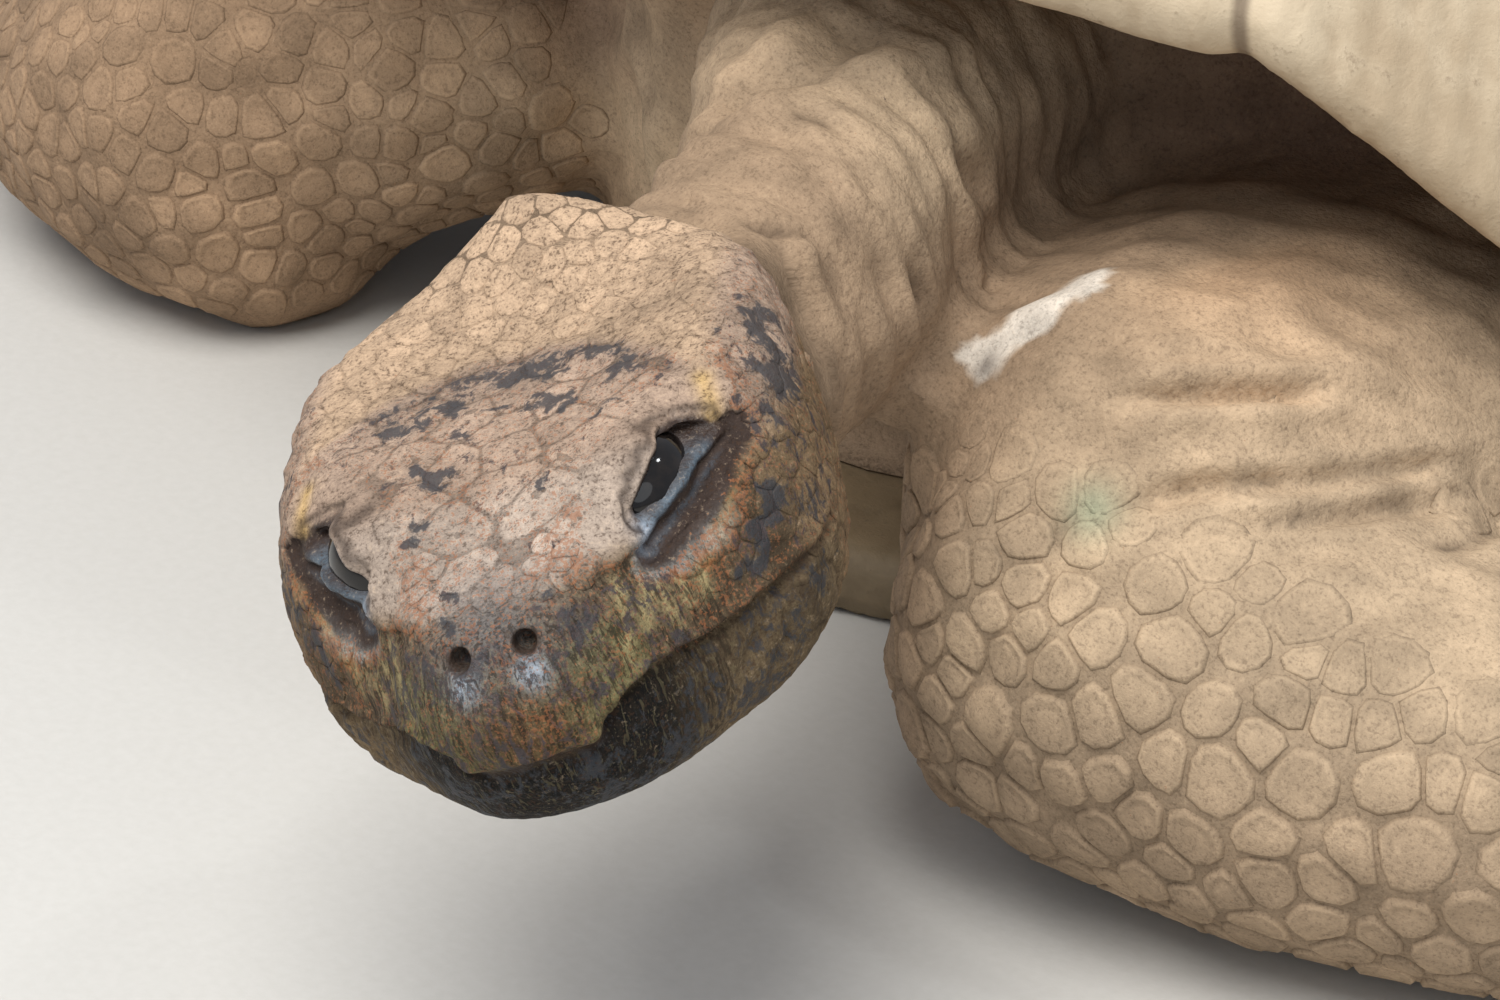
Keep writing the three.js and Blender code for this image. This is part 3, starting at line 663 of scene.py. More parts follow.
# %% Nostrils
INTO_NOSE = np.array([-0.12, 0.96, -0.25])
INTO_NOSE = INTO_NOSE / np.linalg.norm(INTO_NOSE)
for side in (1, -1):
    near = in_head(points)
    near[:, 0] *= side
    away = near - NOSTRIL
    deep = away @ INTO_NOSE
    across = np.linalg.norm(away - deep[:, None] * INTO_NOSE, axis=1)
    lift = away[:, 2] - 0.4 * away[:, 0]
    across = across * (1 - 0.16 * np.tanh(lift / 2))
    pit = 6.5 * ramp(3.0, 1.3, across) - 0.45 * hump(across - 4.4, 1.5)
    near += (pit * (np.abs(deep) < 9))[:, None] * INTO_NOSE
    near[:, 0] *= side
    points = from_head(near)
set_points(skin, points)

# %% [markdown]
# ## Folds of the neck and the legs
# Loose hide creases where it is squeezed. The left foreleg is folded at the wrist, and its long
# creases fan out from there over the outer side. The neck is drawn up into soft rings and hanging
# folds, and two light ridges run along its top under the shell. The rest is low, seeded waving.

# %% Folds
LEG_FOLDS = [  # routes in millimetres, depth, width
    (
        [(258, -415, 170), (276, -396, 170), (290, -376, 166), (304, -346, 155), (313, -317, 140)],
        6.0,
        2.6,
    ),
    (
        [(258, -424, 156), (279, -406, 161), (299, -365, 157), (310, -340, 146), (316, -320, 133)],
        7.0,
        2.7,
    ),
    (
        [(268, -438, 128), (290, -412, 138), (307, -391, 139), (315, -352, 134), (317, -321, 127)],
        5.0,
        2.6,
    ),
    (
        [(271, -445, 118), (293, -420, 126), (312, -390, 130), (320, -352, 126), (318, -321, 122)],
        4.0,
        2.5,
    ),
    (
        [(290, -438, 104), (312, -412, 113), (330, -385, 118), (334, -350, 118), (326, -321, 114)],
        3.2,
        2.5,
    ),
    ([(318, -428, 92), (340, -396, 102), (348, -360, 106), (338, -322, 106)], 2.4, 2.4),
]
NECK_FOLDS = [
    ([(199, -497, 207), (203, -486, 204), (208, -476, 201)], 3.0, 2.6),
    ([(133, -470, 214), (150, -428, 224), (140, -385, 226)], 6.5, 8.0),
    ([(176, -420, 205), (182, -393, 188), (190, -365, 176)], 5.0, 5.0),
    ([(190, -455, 190), (214, -430, 165), (222, -410, 130)], 4.0, 5.0),
    ([(158, -452, 222), (186, -440, 208), (204, -432, 180)], 2.0, 3.0),
    ([(170, -500, 214), (205, -500, 196), (228, -490, 160)], 1.6, 3.0),
    ([(186, -526, 206), (222, -522, 184), (236, -512, 150)], 1.4, 2.6),
]
NECK_RIDGES = [
    [(120, -470, 210), (133, -432, 220), (122, -380, 222)],
    [(150, -462, 216), (160, -396, 219), (156, -360, 216)],
]
UNDER_SCALES = 1.6  # how far the hide lies inside the solids, to leave room for the scales
points = points_of(skin)
place = points / MM
region = np.array(FLESH)[owners(points, FLESH)]
is_head = np.isin(region, ("head", "lower_jaw"))
is_neck = np.char.startswith(region, "neck")
is_leg = np.char.find(region, "leg_") > 0
left_fore = np.char.startswith(region, "foreleg_left")
rise = np.zeros(len(points))
for path, depth, width in LEG_FOLDS:
    rise += left_fore * furrow(place, path, depth, width, fade=0.25)
for path, depth, width in NECK_FOLDS:
    rise += (is_neck | (region == "trunk")) * furrow(place, path, depth, width, fade=0.25)
for ridge in NECK_RIDGES:
    away, along = path_distance(place, ridge)
    rise += 4.0 * is_neck * hump(away, 7) * ramp(0, 0.2, along) * ramp(1, 0.8, along)
rings = Ripples(31, 13, stretch=(3.2, 1, 3.2))
fine_rings = Ripples(34, 6, stretch=(3.2, 1, 3.2))
hangs = Ripples(32, 34, stretch=(1, 2.4, 1))
loose = Ripples(33, 26)
rise += is_neck * (1.2 * rings(place) + 0.45 * fine_rings(place) + 1.3 * hangs(place))
rise += (is_leg | (region == "tail")) * (0.9 * loose(place) * ramp(8, 30, place[:, 2]))
rise += (region == "trunk") * (2.2 * hangs(place) + 1.0 * loose(place))
rise *= 1 - ramp(40, 10, in_head(points)[:, 1]) * is_neck
rise -= np.where(is_head, 0.35 * ramp(14, 18, eye_distance(points)), UNDER_SCALES)
points += normals_of(skin) * (rise * ramp(3, 12, place[:, 2]))[:, None] * MM
set_points(skin, points)
set_points(skin, smoothed(skin, points_of(skin), 1, 0.4, 0.3))
only(skin)
bpy.ops.object.shade_smooth()
print("folds:", len(LEG_FOLDS), "on the left foreleg,", len(NECK_FOLDS), "on the neck")

# %% [markdown]
# ## The shell
# Each plate of the shell is bone under horn. Its solid is cut flat at its neighbours, so a copy is
# remeshed in small cubes and smoothed, which rounds its edges into the furrows that part the plates.
# Each point also keeps its distance from the plate's border, in millimetres: horn grows in rings
# along the border, and the finish draws them from that number. Each solid of the
# rim carries several plates, so the rim's seams are worked out from the angle round the shell.

# %% Distances from borders and seams
DOME = [name for name in SHELL if name.startswith(("vertebral", "costal"))]
RIM = [name for name in SHELL if name.startswith("rim")]
shell_middle = np.array(frame["record"]["mounts"][0]["pos_m"])
RIM_SEAMS = [  # degrees round the shell from the middle of its front, the same on both sides
    *(0.15 + 14.21 * i for i in range(4)),
    *(57 + 16 * i for i in range(4)),
    *(121 + 16.83 * i for i in range(4)),
]
FAR = 999.0  # millimetres, for a plate that has no such seam


def number_on(thing, name, values):
    """Keeps one number, or three, for each point of a mesh, where the finishes can read them."""
    kind = "FLOAT" if values.ndim == 1 else "FLOAT_COLOR" if values.shape[1] == 4 else "FLOAT_VECTOR"
    if name in thing.data.attributes:
        thing.data.attributes.remove(thing.data.attributes[name])
    held = thing.data.attributes.new(name, kind, "POINT")
    field = {"FLOAT": "value", "FLOAT_COLOR": "color", "FLOAT_VECTOR": "vector"}[kind]
    held.data.foreach_set(field, values.astype(np.float32).ravel())


def from_border(points, others):
    """How far each point is from the nearest of some other plates, in millimetres."""
    tree, _ = tree_of(*others)
    return np.array([tree.find_nearest(Vector(p))[3] for p in points]) / MM


def from_rim_seam(points):
    """How far each point of the rim is from a seam between two plates, in millimetres.

    The sign changes at every seam, so that a seam stays crisp between one point and the next.
    """
    away = points - shell_middle
    turn = np.degrees(np.abs(np.arctan2(away[:, 0], -away[:, 1])))
    gap = np.min([np.abs(turn - seam) for seam in RIM_SEAMS], axis=0)
    side = 1 - 2 * (np.sum([turn > seam for seam in RIM_SEAMS], axis=0) % 2)
    return side * np.radians(gap) * np.hypot(away[:, 0], away[:, 1]) / MM


# %% Plates, rim, belly plate and bridges
growth = Ripples(3, 0.09)
knocks = Ripples(5, 0.022)
shell_pieces = []
for node in SHELL:
    fine = node in ("rim_front_left", "rim_front_right")
    piece = joined_copy(node + "_horn", node)
    apply_modifier(piece, "REMESH", mode="VOXEL", voxel_size=0.0034 if fine else 0.0055, adaptivity=0)
    set_points(piece, smoothed(piece, points_of(piece), 14 if fine else 8, 0.5, 0.5))
    points = points_of(piece)
    border = from_border(points, [n for n in DOME + RIM if n != node])
    seam = from_rim_seam(points) if node in RIM else np.full(len(points), FAR)
    rise = -1.6 * hump(border, 3.5) - 1.5 * hump(seam, 5)
    rise = rise + 0.25 * growth(points) + 0.18 * knocks(points)
    if node in DOME + RIM:
        set_points(piece, points + normals_of(piece) * rise[:, None] * MM)
    number_on(piece, "border", border)
    number_on(piece, "seam", seam)
    bpy.ops.object.shade_smooth()
    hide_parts(node)
    shell_pieces.append(piece)
print("shell:", len(shell_pieces), "pieces,", sum(triangles(p) for p in shell_pieces), "triangles")

# %% [markdown]
# ## Claws and eyes
# Claws are blunt horn cones, and their faceted solids only need rounding. The eyes are smooth dark
# balls of the solids' own radii, set with their long axis along the slit between the lids.

# %% Claws and eyes
claws = []
for node in sorted(n for n in nodes if "claw" in n):
    piece = joined_copy(node + "_horn", node)
    apply_modifier(piece, "SUBSURF", levels=2, render_levels=2)
    bpy.ops.object.shade_smooth()
    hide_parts(node)
    claws.append(piece)
eyes = []
for node, side in (("eye_left", 1), ("eye_right", -1)):
    bpy.ops.mesh.primitive_uv_sphere_add(segments=64, ring_count=40, radius=1)
    eye = bpy.context.object
    eye.name = eye.data.name = node + "_ball"
    ball = points_of(eye)
    local = BALL + ball[:, :1] * EYE_RADII[0] * SLIT + ball[:, 1:2] * EYE_RADII[2] * ACROSS
    local = local + ball[:, 2:] * EYE_RADII[1] * OUTWARD
    local[:, 0] *= side
    set_points(eye, from_head(local))
    only(eye)
    bpy.ops.object.mode_set(mode="EDIT")
    bpy.ops.mesh.select_all(action="SELECT")
    bpy.ops.mesh.normals_make_consistent(inside=False)
    bpy.ops.object.mode_set(mode="OBJECT")
    bpy.ops.object.shade_smooth()
    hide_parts(node)
    eyes.append(eye)
print("claws:", len(claws), "eyes:", len(eyes))

# %% [markdown]
# ## Where the colours lie
# Skin and scales wear the same markings, so one function gives the colour of any place on the
# animal, and both the skin's points and the scales' points ask it. It starts from the warm grey
# brown of the hide and lays named colours over it with soft edges: tan crown, grey-brown brow,
# olive beak, dark jaw, whose front is near black with painted shade. It also gives five shares from
# 0 to 1, which the finish breaks up into crisp patches: blue-black pigment, rusty speckle, painted
# shade in the creases and pits, wetness, and dark streaks.


# %% Named colours
def paint(red, green, blue):
    """A colour given as on a paint chart, 0 to 255, in the linear numbers that shaders use."""
    share = np.array([red, green, blue]) / 255
    return np.where(share <= 0.04045, share / 12.92, ((share + 0.055) / 1.055) ** 2.4)


HIDE = paint(150, 127, 103)
# pale hide, also painted as light on the top of the neck and on the chest
PALE_AND_LIT_HIDE = paint(183, 161, 133)
HIDE_WARM = paint(172, 141, 111)
# painted shade for the hide deep in the pocket under the shell
POCKET_SHADE_HIDE = paint(120, 95, 80)
CROWN = paint(168, 143, 118)
BROW = paint(150, 129, 112)
SNOUT = paint(172, 155, 140)
NOSE = paint(100, 97, 96)
BEAK = paint(98, 92, 60)
BEAK_TIP = paint(74, 48, 28)
JAW = paint(100, 84, 62)
# the jaw's own dark colour, pushed near black as painted shade under the head
JAW_FRONT_AND_SHADE = paint(10, 9, 6)
CHEEK = paint(86, 72, 54)
TEMPLE = paint(120, 99, 73)
LID = paint(84, 96, 106)
LID_EDGE = paint(140, 140, 138)
# the lower lid's dark pouch, also painted as shade along the upper lid under the brow
DARK_POUCH_AND_BROW_SHADE = paint(54, 43, 38)
# pale blue-white skin of the eye's front corner, also painted as wet sheen below the nostrils
PALE_BLUE_SKIN_AND_SHEEN = paint(150, 160, 172)
STRAW = paint(178, 162, 116)
YELLOW_RIDGE = paint(196, 160, 84)
SCAR = paint(222, 212, 198)
COPPER_GREEN = paint(140, 165, 138)
STREAK_LIGHT = paint(150, 140, 104)
STREAK_DARK = paint(26, 24, 18)
RUST = paint(142, 88, 54)
BLUE_BLACK = paint(52, 55, 60)
GRIT = paint(70, 50, 36)
# painted shade for the creases, folds and nostril pits
CREASE_SHADE = paint(46, 34, 27)
BETWEEN_PEBBLES = paint(84, 64, 48)

# %% Where the markings are
DARK_PATCHES = [  # middle and radius, in the head's axes
    ((2, 15, 32), 7), ((9, 14, 32), 6), ((11, -5, 31), 6), ((-29, 0, 33), 6), ((-36, 6, 32), 4),
    ((-15, -30, 29), 5), ((-20, -24, 29), 4), ((32, 2, 33), 6), ((22, 12, 33), 5), ((44, -14, 31), 5),
    ((63, 18, 29), 5), ((65, 11, 27), 6), ((68, 4, 22), 6), ((67, -2, 18), 6), ((64, -11, 16), 5),
    ((63, -18, 14), 5), ((61, -29, -1), 6), ((57, -38, -7), 6), ((-62, -2, 18), 7), ((-60, -26, 4), 6),
    ((-8, -12, 32), 4), ((14, -44, 27), 3), ((-6, -62, 24), 4), ((12, -78, 12), 4), ((-12, -76, 12), 4),
    ((52, -46, -12), 4), ((30, -20, 31), 3), ((-2, -2, 32), 3), ((18, -62, 22), 3),
    ((18, -12, 31), 4), ((-16, 6, 32), 5), ((-24, 12, 32), 4), ((4, -58, 25), 3), ((-20, -48, 25), 4),
]
DARK_BANDS = [  # from, to, with the head's right laid over its left
    ((62, 16, 28), (68, 4, 23)), ((68, 4, 23), (66, -12, 17)), ((60, -26, 2), (55, -42, -9)),
]
STRAW_STREAKS = [
    ((36, -59, 6), (33, -68, -8)), ((38, -62, -2), (39, -63, -12)), ((45, -52, 0), (46, -54, -10)),
    ((41, -57, 2), (43, -59, -9)), ((30, -66, 4), (28, -76, -12)),
]
NECK_MIDDLE = [(233, -560, 170), (190, -480, 180), (120, -360, 190)]
SCAR_LINE = [(213, -421, 154), (219, -411, 163), (224, -401, 170), (224, -392, 172)]
YELLOW_LINE = [(53, -14, 28), (55, -24, 22), (54, -34, 9), (52, -42, 2), (47, -49, -2)]


def crown_edge(x):
    """Where the brow's plates end and the crown's fine scales begin, as a place backwards."""
    return 29 - 0.0135 * x * x - 0.10 * x


def lay(tone, color, share):
    """Colours with another laid over them by a share for each point."""
    return tone + share[:, None] * (color - tone)


sway = [Ripples(44 + i, 9) for i in range(3)]
drift = Ripples(41, 60)
mottle = Ripples(42, 14)


# %% The head's markings
def head_parts(points):
    """The head's places, and soft shares of its regions that both colours and patches ask for."""
    near = in_head(points)
    x, y, z = near.T
    fold = mirrored(near)
    u, w, g = eye_places(fold)
    return SimpleNamespace(
        near=near,
        fold=fold,
        top=ramp(8, 24, z),
        behind=ramp(-3, 3, y - crown_edge(x)) * ramp(60, 50, np.abs(x)),
        front=ramp(-64, -76, y),
        in_jaw=ramp(1.0, -2.0, above_path(fold, MOUTH)) * ramp(8, -24, y),
        at_lip=ramp(-50, -62, y) * hump(away_from(near, (2, -92, -17)), 14),
        at_eye=(g > -4) & (np.abs(x) > 5),
        u=u,
        w=w,
        e=past_lids(u, w),
    )


def head_tone(head):
    near, fold = head.near, head.fold
    x, y, z = near.T
    tone = np.tile(TEMPLE, (len(near), 1))
    tone = lay(tone, BROW, head.top)
    tone = lay(tone, CROWN, head.top * head.behind)
    tone = lay(tone, SNOUT, ramp(-34, -48, y) * ramp(6, 14, z))
    tone = lay(tone, CHEEK, ramp(-20, -34, y) * ramp(12, 4, z) * ramp(-30, -16, z))
    tone = lay(tone, HIDE, ramp(40, 66, y) * ramp(30, 12, z))
    tone = lay(tone, HIDE * 0.85, ramp(-24, -40, z) * ramp(0, 30, y))
    tone = lay(tone, BEAK, head.front * ramp(4, -4, z))
    tone = lay(tone, NOSE, 0.9 * hump(away_from(near, (0, -82, 10)), 20))
    tone = lay(tone, BEAK_TIP, 0.8 * head.at_lip)
    tone = lay(tone, JAW, head.in_jaw)
    # the front of the lower jaw: its own dark colour and painted shade under the head, near black
    tone = lay(tone, JAW_FRONT_AND_SHADE, head.in_jaw * ramp(-50, -72, y))
    for streak in STRAW_STREAKS:
        tone = lay(tone, STRAW, 0.6 * hump(path_distance(fold, streak)[0], 2.0))
    tone = lay(tone, YELLOW_RIDGE, 0.6 * hump(path_distance(fold, YELLOW_LINE)[0], 2.6))
    # painted highlight: a pale blue-white patch of wet sheen below each nostril
    tone = lay(tone, PALE_BLUE_SKIN_AND_SHEEN, 0.9 * hump(away_from(fold, (9, -89.5, -2.5)), 4.2))
    tone = lid_tone(tone, head)
    return tone * (1 + 0.10 * drift(near) + 0.05 * mottle(near))[:, None]


def lid_tone(tone, head):
    """Lays the lids' colours over the head's: dark pouch, painted shade under the brow, blue-grey
    margin, pale rim.
    """
    u, w, e, at_eye = head.u, head.w, head.e, head.at_eye
    below = under_the_slit(u, w)
    # painted shade: a thin dark margin along the upper lid, under the brow's edge
    shade_under_brow = ramp(2.2, 0.8, e) * (1 - below)
    tone = lay(tone, DARK_POUCH_AND_BROW_SHADE, at_eye * (ramp(POUCH_END, 9.8, e) * below + shade_under_brow))
    outer = hump(e - 12.0, 2.0) * ramp(12, -8, u)
    tone = lay(tone, LID_EDGE, at_eye * below * outer * 0.8)
    band = np.maximum(hump(e - 1.2, 1.3), 0.4 * hump(e - 5.2, 0.7))
    tone = lay(tone, LID, at_eye * band * below * ramp(18, 10, u))
    return lay(tone, PALE_BLUE_SKIN_AND_SHEEN, at_eye * hump(np.hypot((u + 16.5) / 3.6, (w - 0.2) / 2.8), 1))


def blue_black(head):
    """The share of dark pigment, from patches whose places are swayed so that none is round."""
    near, top = head.near, head.top
    x, y, z = near.T
    past_edge = y - crown_edge(x)
    swayed = near + 2.6 * np.column_stack([wave(near) for wave in sway])
    dark = np.zeros(len(near))
    for middle, radius in DARK_PATCHES:
        dark = np.maximum(dark, hump(away_from(swayed, middle), radius * 1.2))
    for band in DARK_BANDS:
        away, _ = path_distance(head.fold + swayed - near, band)
        dark = np.maximum(dark, 0.8 * hump(away, 6))
    for share in (
        (0.25 + 0.2 * hump(past_edge + 9, 12)) * top,
        0.42 * ramp(40, 56, np.abs(x)) * ramp(36, 20, y) * ramp(-26, -8, z),
        0.46 * ramp(-48, -62, y) * ramp(12, 4, z),
        0.44 * head.in_jaw * (1 - head.front),
        0.55 * hump(past_edge + 6, 5) * top * ramp(56, 44, np.abs(x)),
    ):
        dark = np.maximum(dark, share)
    return dark * (1 - head.behind * top * 0.85) * (1 - head.at_eye * ramp(12, 9, head.e))


def head_shares(head):
    """Pigment, rust, painted shade in the grooves, wetness and streaks of the head, one column each."""
    near, fold, e, at_eye, in_jaw = head.near, head.fold, head.e, head.at_eye, head.in_jaw
    _, y, z = near.T
    rust = 0.40 + 0.06 * ramp(-10, -50, y) * ramp(10, 0, z) + 0.22 * hump(e - 13, 4) * at_eye
    rust += 0.34 * hump(away_from(near, (52, -16, 29)), 12) + 0.1 * head.at_lip
    on_crown = 0.7 * head.behind * head.top
    rust = rust * (1 - 0.75 * in_jaw) * (1 - at_eye * ramp(11, 8, e)) * (1 - on_crown)
    # painted shade: the mouth groove, the creases behind it, the lid's crease and the nostril pits are
    # darkened
    groove = hump(path_distance(fold, MOUTH)[0], 2.2)
    for crease in (CHEEK_CREASE, JAW_CREASE):
        groove = np.maximum(groove, 0.9 * hump(path_distance(fold, crease)[0], 2.0))
    groove = np.maximum(groove, at_eye * 0.9 * hump(e - 3.1, 0.9))
    groove = np.maximum(groove, ramp(4.6, 2.8, away_from(fold - NOSTRIL, 3.5 * INTO_NOSE)))
    wet = np.maximum(at_eye * ramp(5, 2, e), 0.55 * hump(away_from(near, (0, -88, -2)), 12))
    snout = ramp(-40, -58, y) * ramp(16, 4, z)
    streaked = np.maximum((0.35 + 0.35 * head.front) * in_jaw, snout)
    streaked = streaked * (1 - at_eye * ramp(12, 9, e))
    return np.column_stack([blue_black(head), rust, groove, wet, streaked])


# %% The body's markings
def body_markings(points):
    place = points / MM
    x, y, z = place.T
    tone = np.tile(HIDE, (len(place), 1))
    left_leg = ramp(225, 250, x) * ramp(-200, -300, y)
    tone = lay(tone, PALE_AND_LIT_HIDE, left_leg * 0.75)
    tone = lay(tone, HIDE_WARM, left_leg * hump(away_from(place, (235, -350, 185)), 62))
    tone = lay(tone, HIDE * 0.96, left_leg * ramp(110, 50, z) * 0.6)
    tone = lay(tone, HIDE_WARM * 0.8, ramp(20, -40, x) * ramp(-150, -230, y) * 0.75)
    neck = hump(path_distance(place, NECK_MIDDLE)[0], 75)
    # painted light: the top of the neck near the shell is paler, as if lit from above
    tone = lay(tone, PALE_AND_LIT_HIDE, neck * ramp(-470, -410, y) * ramp(170, 205, z) * 0.95)
    # painted light: a pale pool on the chest between the neck and the right foreleg, where the skin is
    # lit
    tone = lay(tone, PALE_AND_LIT_HIDE * 1.3, hump(away_from(place, (-83, -300, 105)), 70) * 0.9)
    tone = lay(tone, HIDE * 0.95, neck * ramp(200, 150, z) * 0.6)
    # painted shade: the hide darkens deeper in the pocket under the front of the shell, where the shell
    # shades it, but not on the top of the left foreleg
    deep = ramp(-325, -250, y) * ramp(0.5, 1.0, ramp(60, 130, z) + ramp(-180, 0, x) * 0.2)
    tone = lay(tone, POCKET_SHADE_HIDE, deep * 0.8 * (1 - ramp(200, 235, x) * ramp(-235, -265, y)))
    to_scar = path_distance(place, SCAR_LINE)[0] + 1.6 * mottle(place)
    tone = lay(tone, SCAR, ramp(9, 6.5, to_scar) * 0.9)
    tone = lay(tone, COPPER_GREEN, 0.5 * hump(away_from(place, (272, -435, 132)), 8))
    tone = tone * (1 + 0.09 * drift(place) + 0.08 * mottle(place))[:, None]
    rust = np.full(len(place), 0.04)
    # painted shade along the folds of the legs and the neck
    groove = np.zeros(len(place))
    for path, _, width in LEG_FOLDS + NECK_FOLDS:
        away, along = path_distance(place, path)
        line = 0.8 * hump(away, width * 0.8) * ramp(0, 0.3, along) * ramp(1, 0.7, along)
        groove = np.maximum(groove, line)
    zero = np.zeros(len(place))
    return tone, np.column_stack([zero, rust, groove, zero, zero])


# %% Wearing the markings
def wear(thing, head_share, shade=None):
    """Gives a mesh its colours and shares, and the places that the fine patterns are drawn in."""
    points = points_of(thing)
    tone, shares = body_markings(points)
    head = head_parts(points)
    mix = head_share[:, None]
    tone = tone + mix * (head_tone(head) - tone)
    shares = shares + mix * (head_shares(head) - shares)
    if shade is not None:
        tone = tone * shade[:, None]
    number_on(thing, "tone", np.column_stack([np.clip(tone, 0.003, 0.95), np.ones(len(points))]))
    shares = np.clip(shares, 0, 1)
    number_on(thing, "shares", shares[:, :3])
    number_on(thing, "wet", shares[:, 3])
    number_on(thing, "streaked", shares[:, 4])
    number_on(thing, "lively", 0.45 + 0.55 * head_share)
    place = points / MM + mix * (in_head(points) - points / MM)
    number_on(thing, "place", place)


head_share = ramp(84, 62, in_head(points_of(skin))[:, 1]) * np.isin(region, ("head", "lower_jaw"))
head_share = smoothed(skin, head_share, 12)
wear(skin, head_share)
print("skin is painted")

# %% [markdown]
# ## Scales
# Scales are horny islands in the hide: flat plates on the head, round raised ones with rings on the
# legs. They could be cut into the skin, but then the seams would need its points to follow them.
# Instead each is a thin closed cap of its own that lies on the skin and reaches a little into it.
# Seeds are dropped at random and kept where no other is near. Each scale ends halfway to its
# neighbours, with rounded corners, so together they fill the skin with fine seams between.


# %% Seeds on the skin
skin.data.calc_loop_triangles()
skin_triangles = skin.data.loop_triangles
triangle_points = read(skin_triangles, "vertices", 3, np.int32)
triangle_loops = read(skin_triangles, "loops", 3, np.int32)
triangle_area = read(skin_triangles, "area")
skin_points = points_of(skin)
skin_sheet = read(skin.data.uv_layers["OFBake"].data, "uv", 2)
calm_normals = smoothed(skin, normals_of(skin), 8)
calm_normals /= np.linalg.norm(calm_normals, axis=1)[:, None]
skin_tree = BVHTree.FromObject(skin, bpy.context.evaluated_depsgraph_get())


def drop(regions, count, seed):
    """Random places on some regions of the skin: point, outward direction, and place on the sheet."""
    draw = np.random.default_rng(seed)
    at_home = np.isin(region[triangle_points[:, 0]], regions)
    weight = triangle_area * at_home
    chosen = draw.choice(len(weight), count, p=weight / weight.sum())
    share = draw.dirichlet((1, 1, 1), count)[:, :, None]
    where = (skin_points[triangle_points[chosen]] * share).sum(1)
    outward = (calm_normals[triangle_points[chosen]] * share).sum(1)
    outward /= np.linalg.norm(outward, axis=1)[:, None]
    return where, outward, (skin_sheet[triangle_loops[chosen]] * share).sum(1)


def keep_apart(where, spacing):
    """Which of the places to keep so that each is at least its own spacing from those kept before."""
    kept = []
    taken = np.empty_like(where)
    for i, (place, room) in enumerate(zip(where, spacing)):
        if room <= 0:
            continue
        away = taken[: len(kept)] - place
        if not len(kept) or ((away * away).sum(1) > room * room).all():
            taken[len(kept)] = place
            kept.append(i)
    return np.array(kept)


# %% [markdown]
# ## From seeds to scales
# Round each seed, rays in the skin's plane find how far the scale reaches before the middle line
# to each neighbour, softly, so that no corner is sharp. Rings of points at shares of that reach are
# dropped onto the skin and raised by the scale's profile. The lowest ring lies under the skin.


# %% Reaches
NEIGHBOURS = 14
NO_STOP = 1.0  # metres, well past any neighbour
LEAST_REACH = 0.0006


def reaches(where, outward, room, count, gap, rounding):
    """Two directions in each scale's plane, and its reach along evenly turned rays, in metres."""
    tree = KDTree(len(where))
    for i, place in enumerate(where):
        tree.insert(place, i)
    tree.balance()
    near = np.array([[n for _, n, _ in tree.find_n(place, NEIGHBOURS + 1)][1:] for place in where])
    first = np.cross(outward, (0.3, 0.2, 0.93))
    first /= np.linalg.norm(first, axis=1)[:, None]
    second = np.cross(outward, first)
    away = where[near] - where[:, None]
    a, b = (away * first[:, None]).sum(2), (away * second[:, None]).sum(2)
    long, flat = np.linalg.norm(away, axis=2), np.maximum(np.hypot(a, b), 1e-6)
    faces_away = flat < 0.35 * long
    a, b = a * long / flat, b * long / flat
    turn = turns(count)
    ahead = a[:, :, None] * np.cos(turn) + b[:, :, None] * np.sin(turn)
    middle = (long**2 + 0.35 * (room[:, None] ** 2 - room[near] ** 2)) / 2
    meets = (ahead > 1e-6) & ~faces_away[:, :, None]
    stop = np.where(meets, middle[:, :, None] / np.maximum(ahead, 1e-6), NO_STOP)
    stop = np.concatenate([stop, np.repeat(0.95 * room[:, None, None], count, 2)], 1)
    soft = (np.maximum(stop, 2e-4) ** -rounding).sum(1) ** (-1 / rounding)
    return first, second, np.maximum(soft - gap, LEAST_REACH)


def turns(count):
    return np.arange(count) * 2 * math.pi / count


def around(first, second, turn):
    """Steps of one metre in each scale's plane, at each turn."""
    return first[:, None] * np.cos(turn)[:, None] + second[:, None] * np.sin(turn)[:, None]


# %% Closed caps
PATCH = 0.003  # of the sheet, for one scale


def onto_skin(points, outward, above=0.008):
    """How far to move points along their directions onto the skin, and a metre where it isn't near."""
    moved = np.ones(len(points))
    for i, (point, way) in enumerate(zip(points, outward)):
        hit = skin_tree.ray_cast(Vector(point + way * above), Vector(-way), 2 * above)[3]
        if hit is not None:
            moved[i] = above - hit
    return moved


def pick(which, *arrays):
    return [values[which] for values in arrays]


def scale_faces(rings, count):
    """The faces of one scale, whose points are its rings, its middle, and one under it."""
    turned = np.roll(np.arange(count), -1)
    middle, under = rings * count, rings * count + 1
    faces = []
    for ring in range(rings - 1):
        outer, inner = ring * count + np.arange(count), (ring + 1) * count + np.arange(count)
        faces += [tuple(f) for f in np.column_stack([outer, outer[turned], inner[turned], inner])]
    last = (rings - 1) * count + np.arange(count)
    faces += [(int(a), int(b), middle) for a, b in zip(last, last[turned])]
    faces += [(int(b), int(a), under) for a, b in zip(range(count), turned)]
    return faces


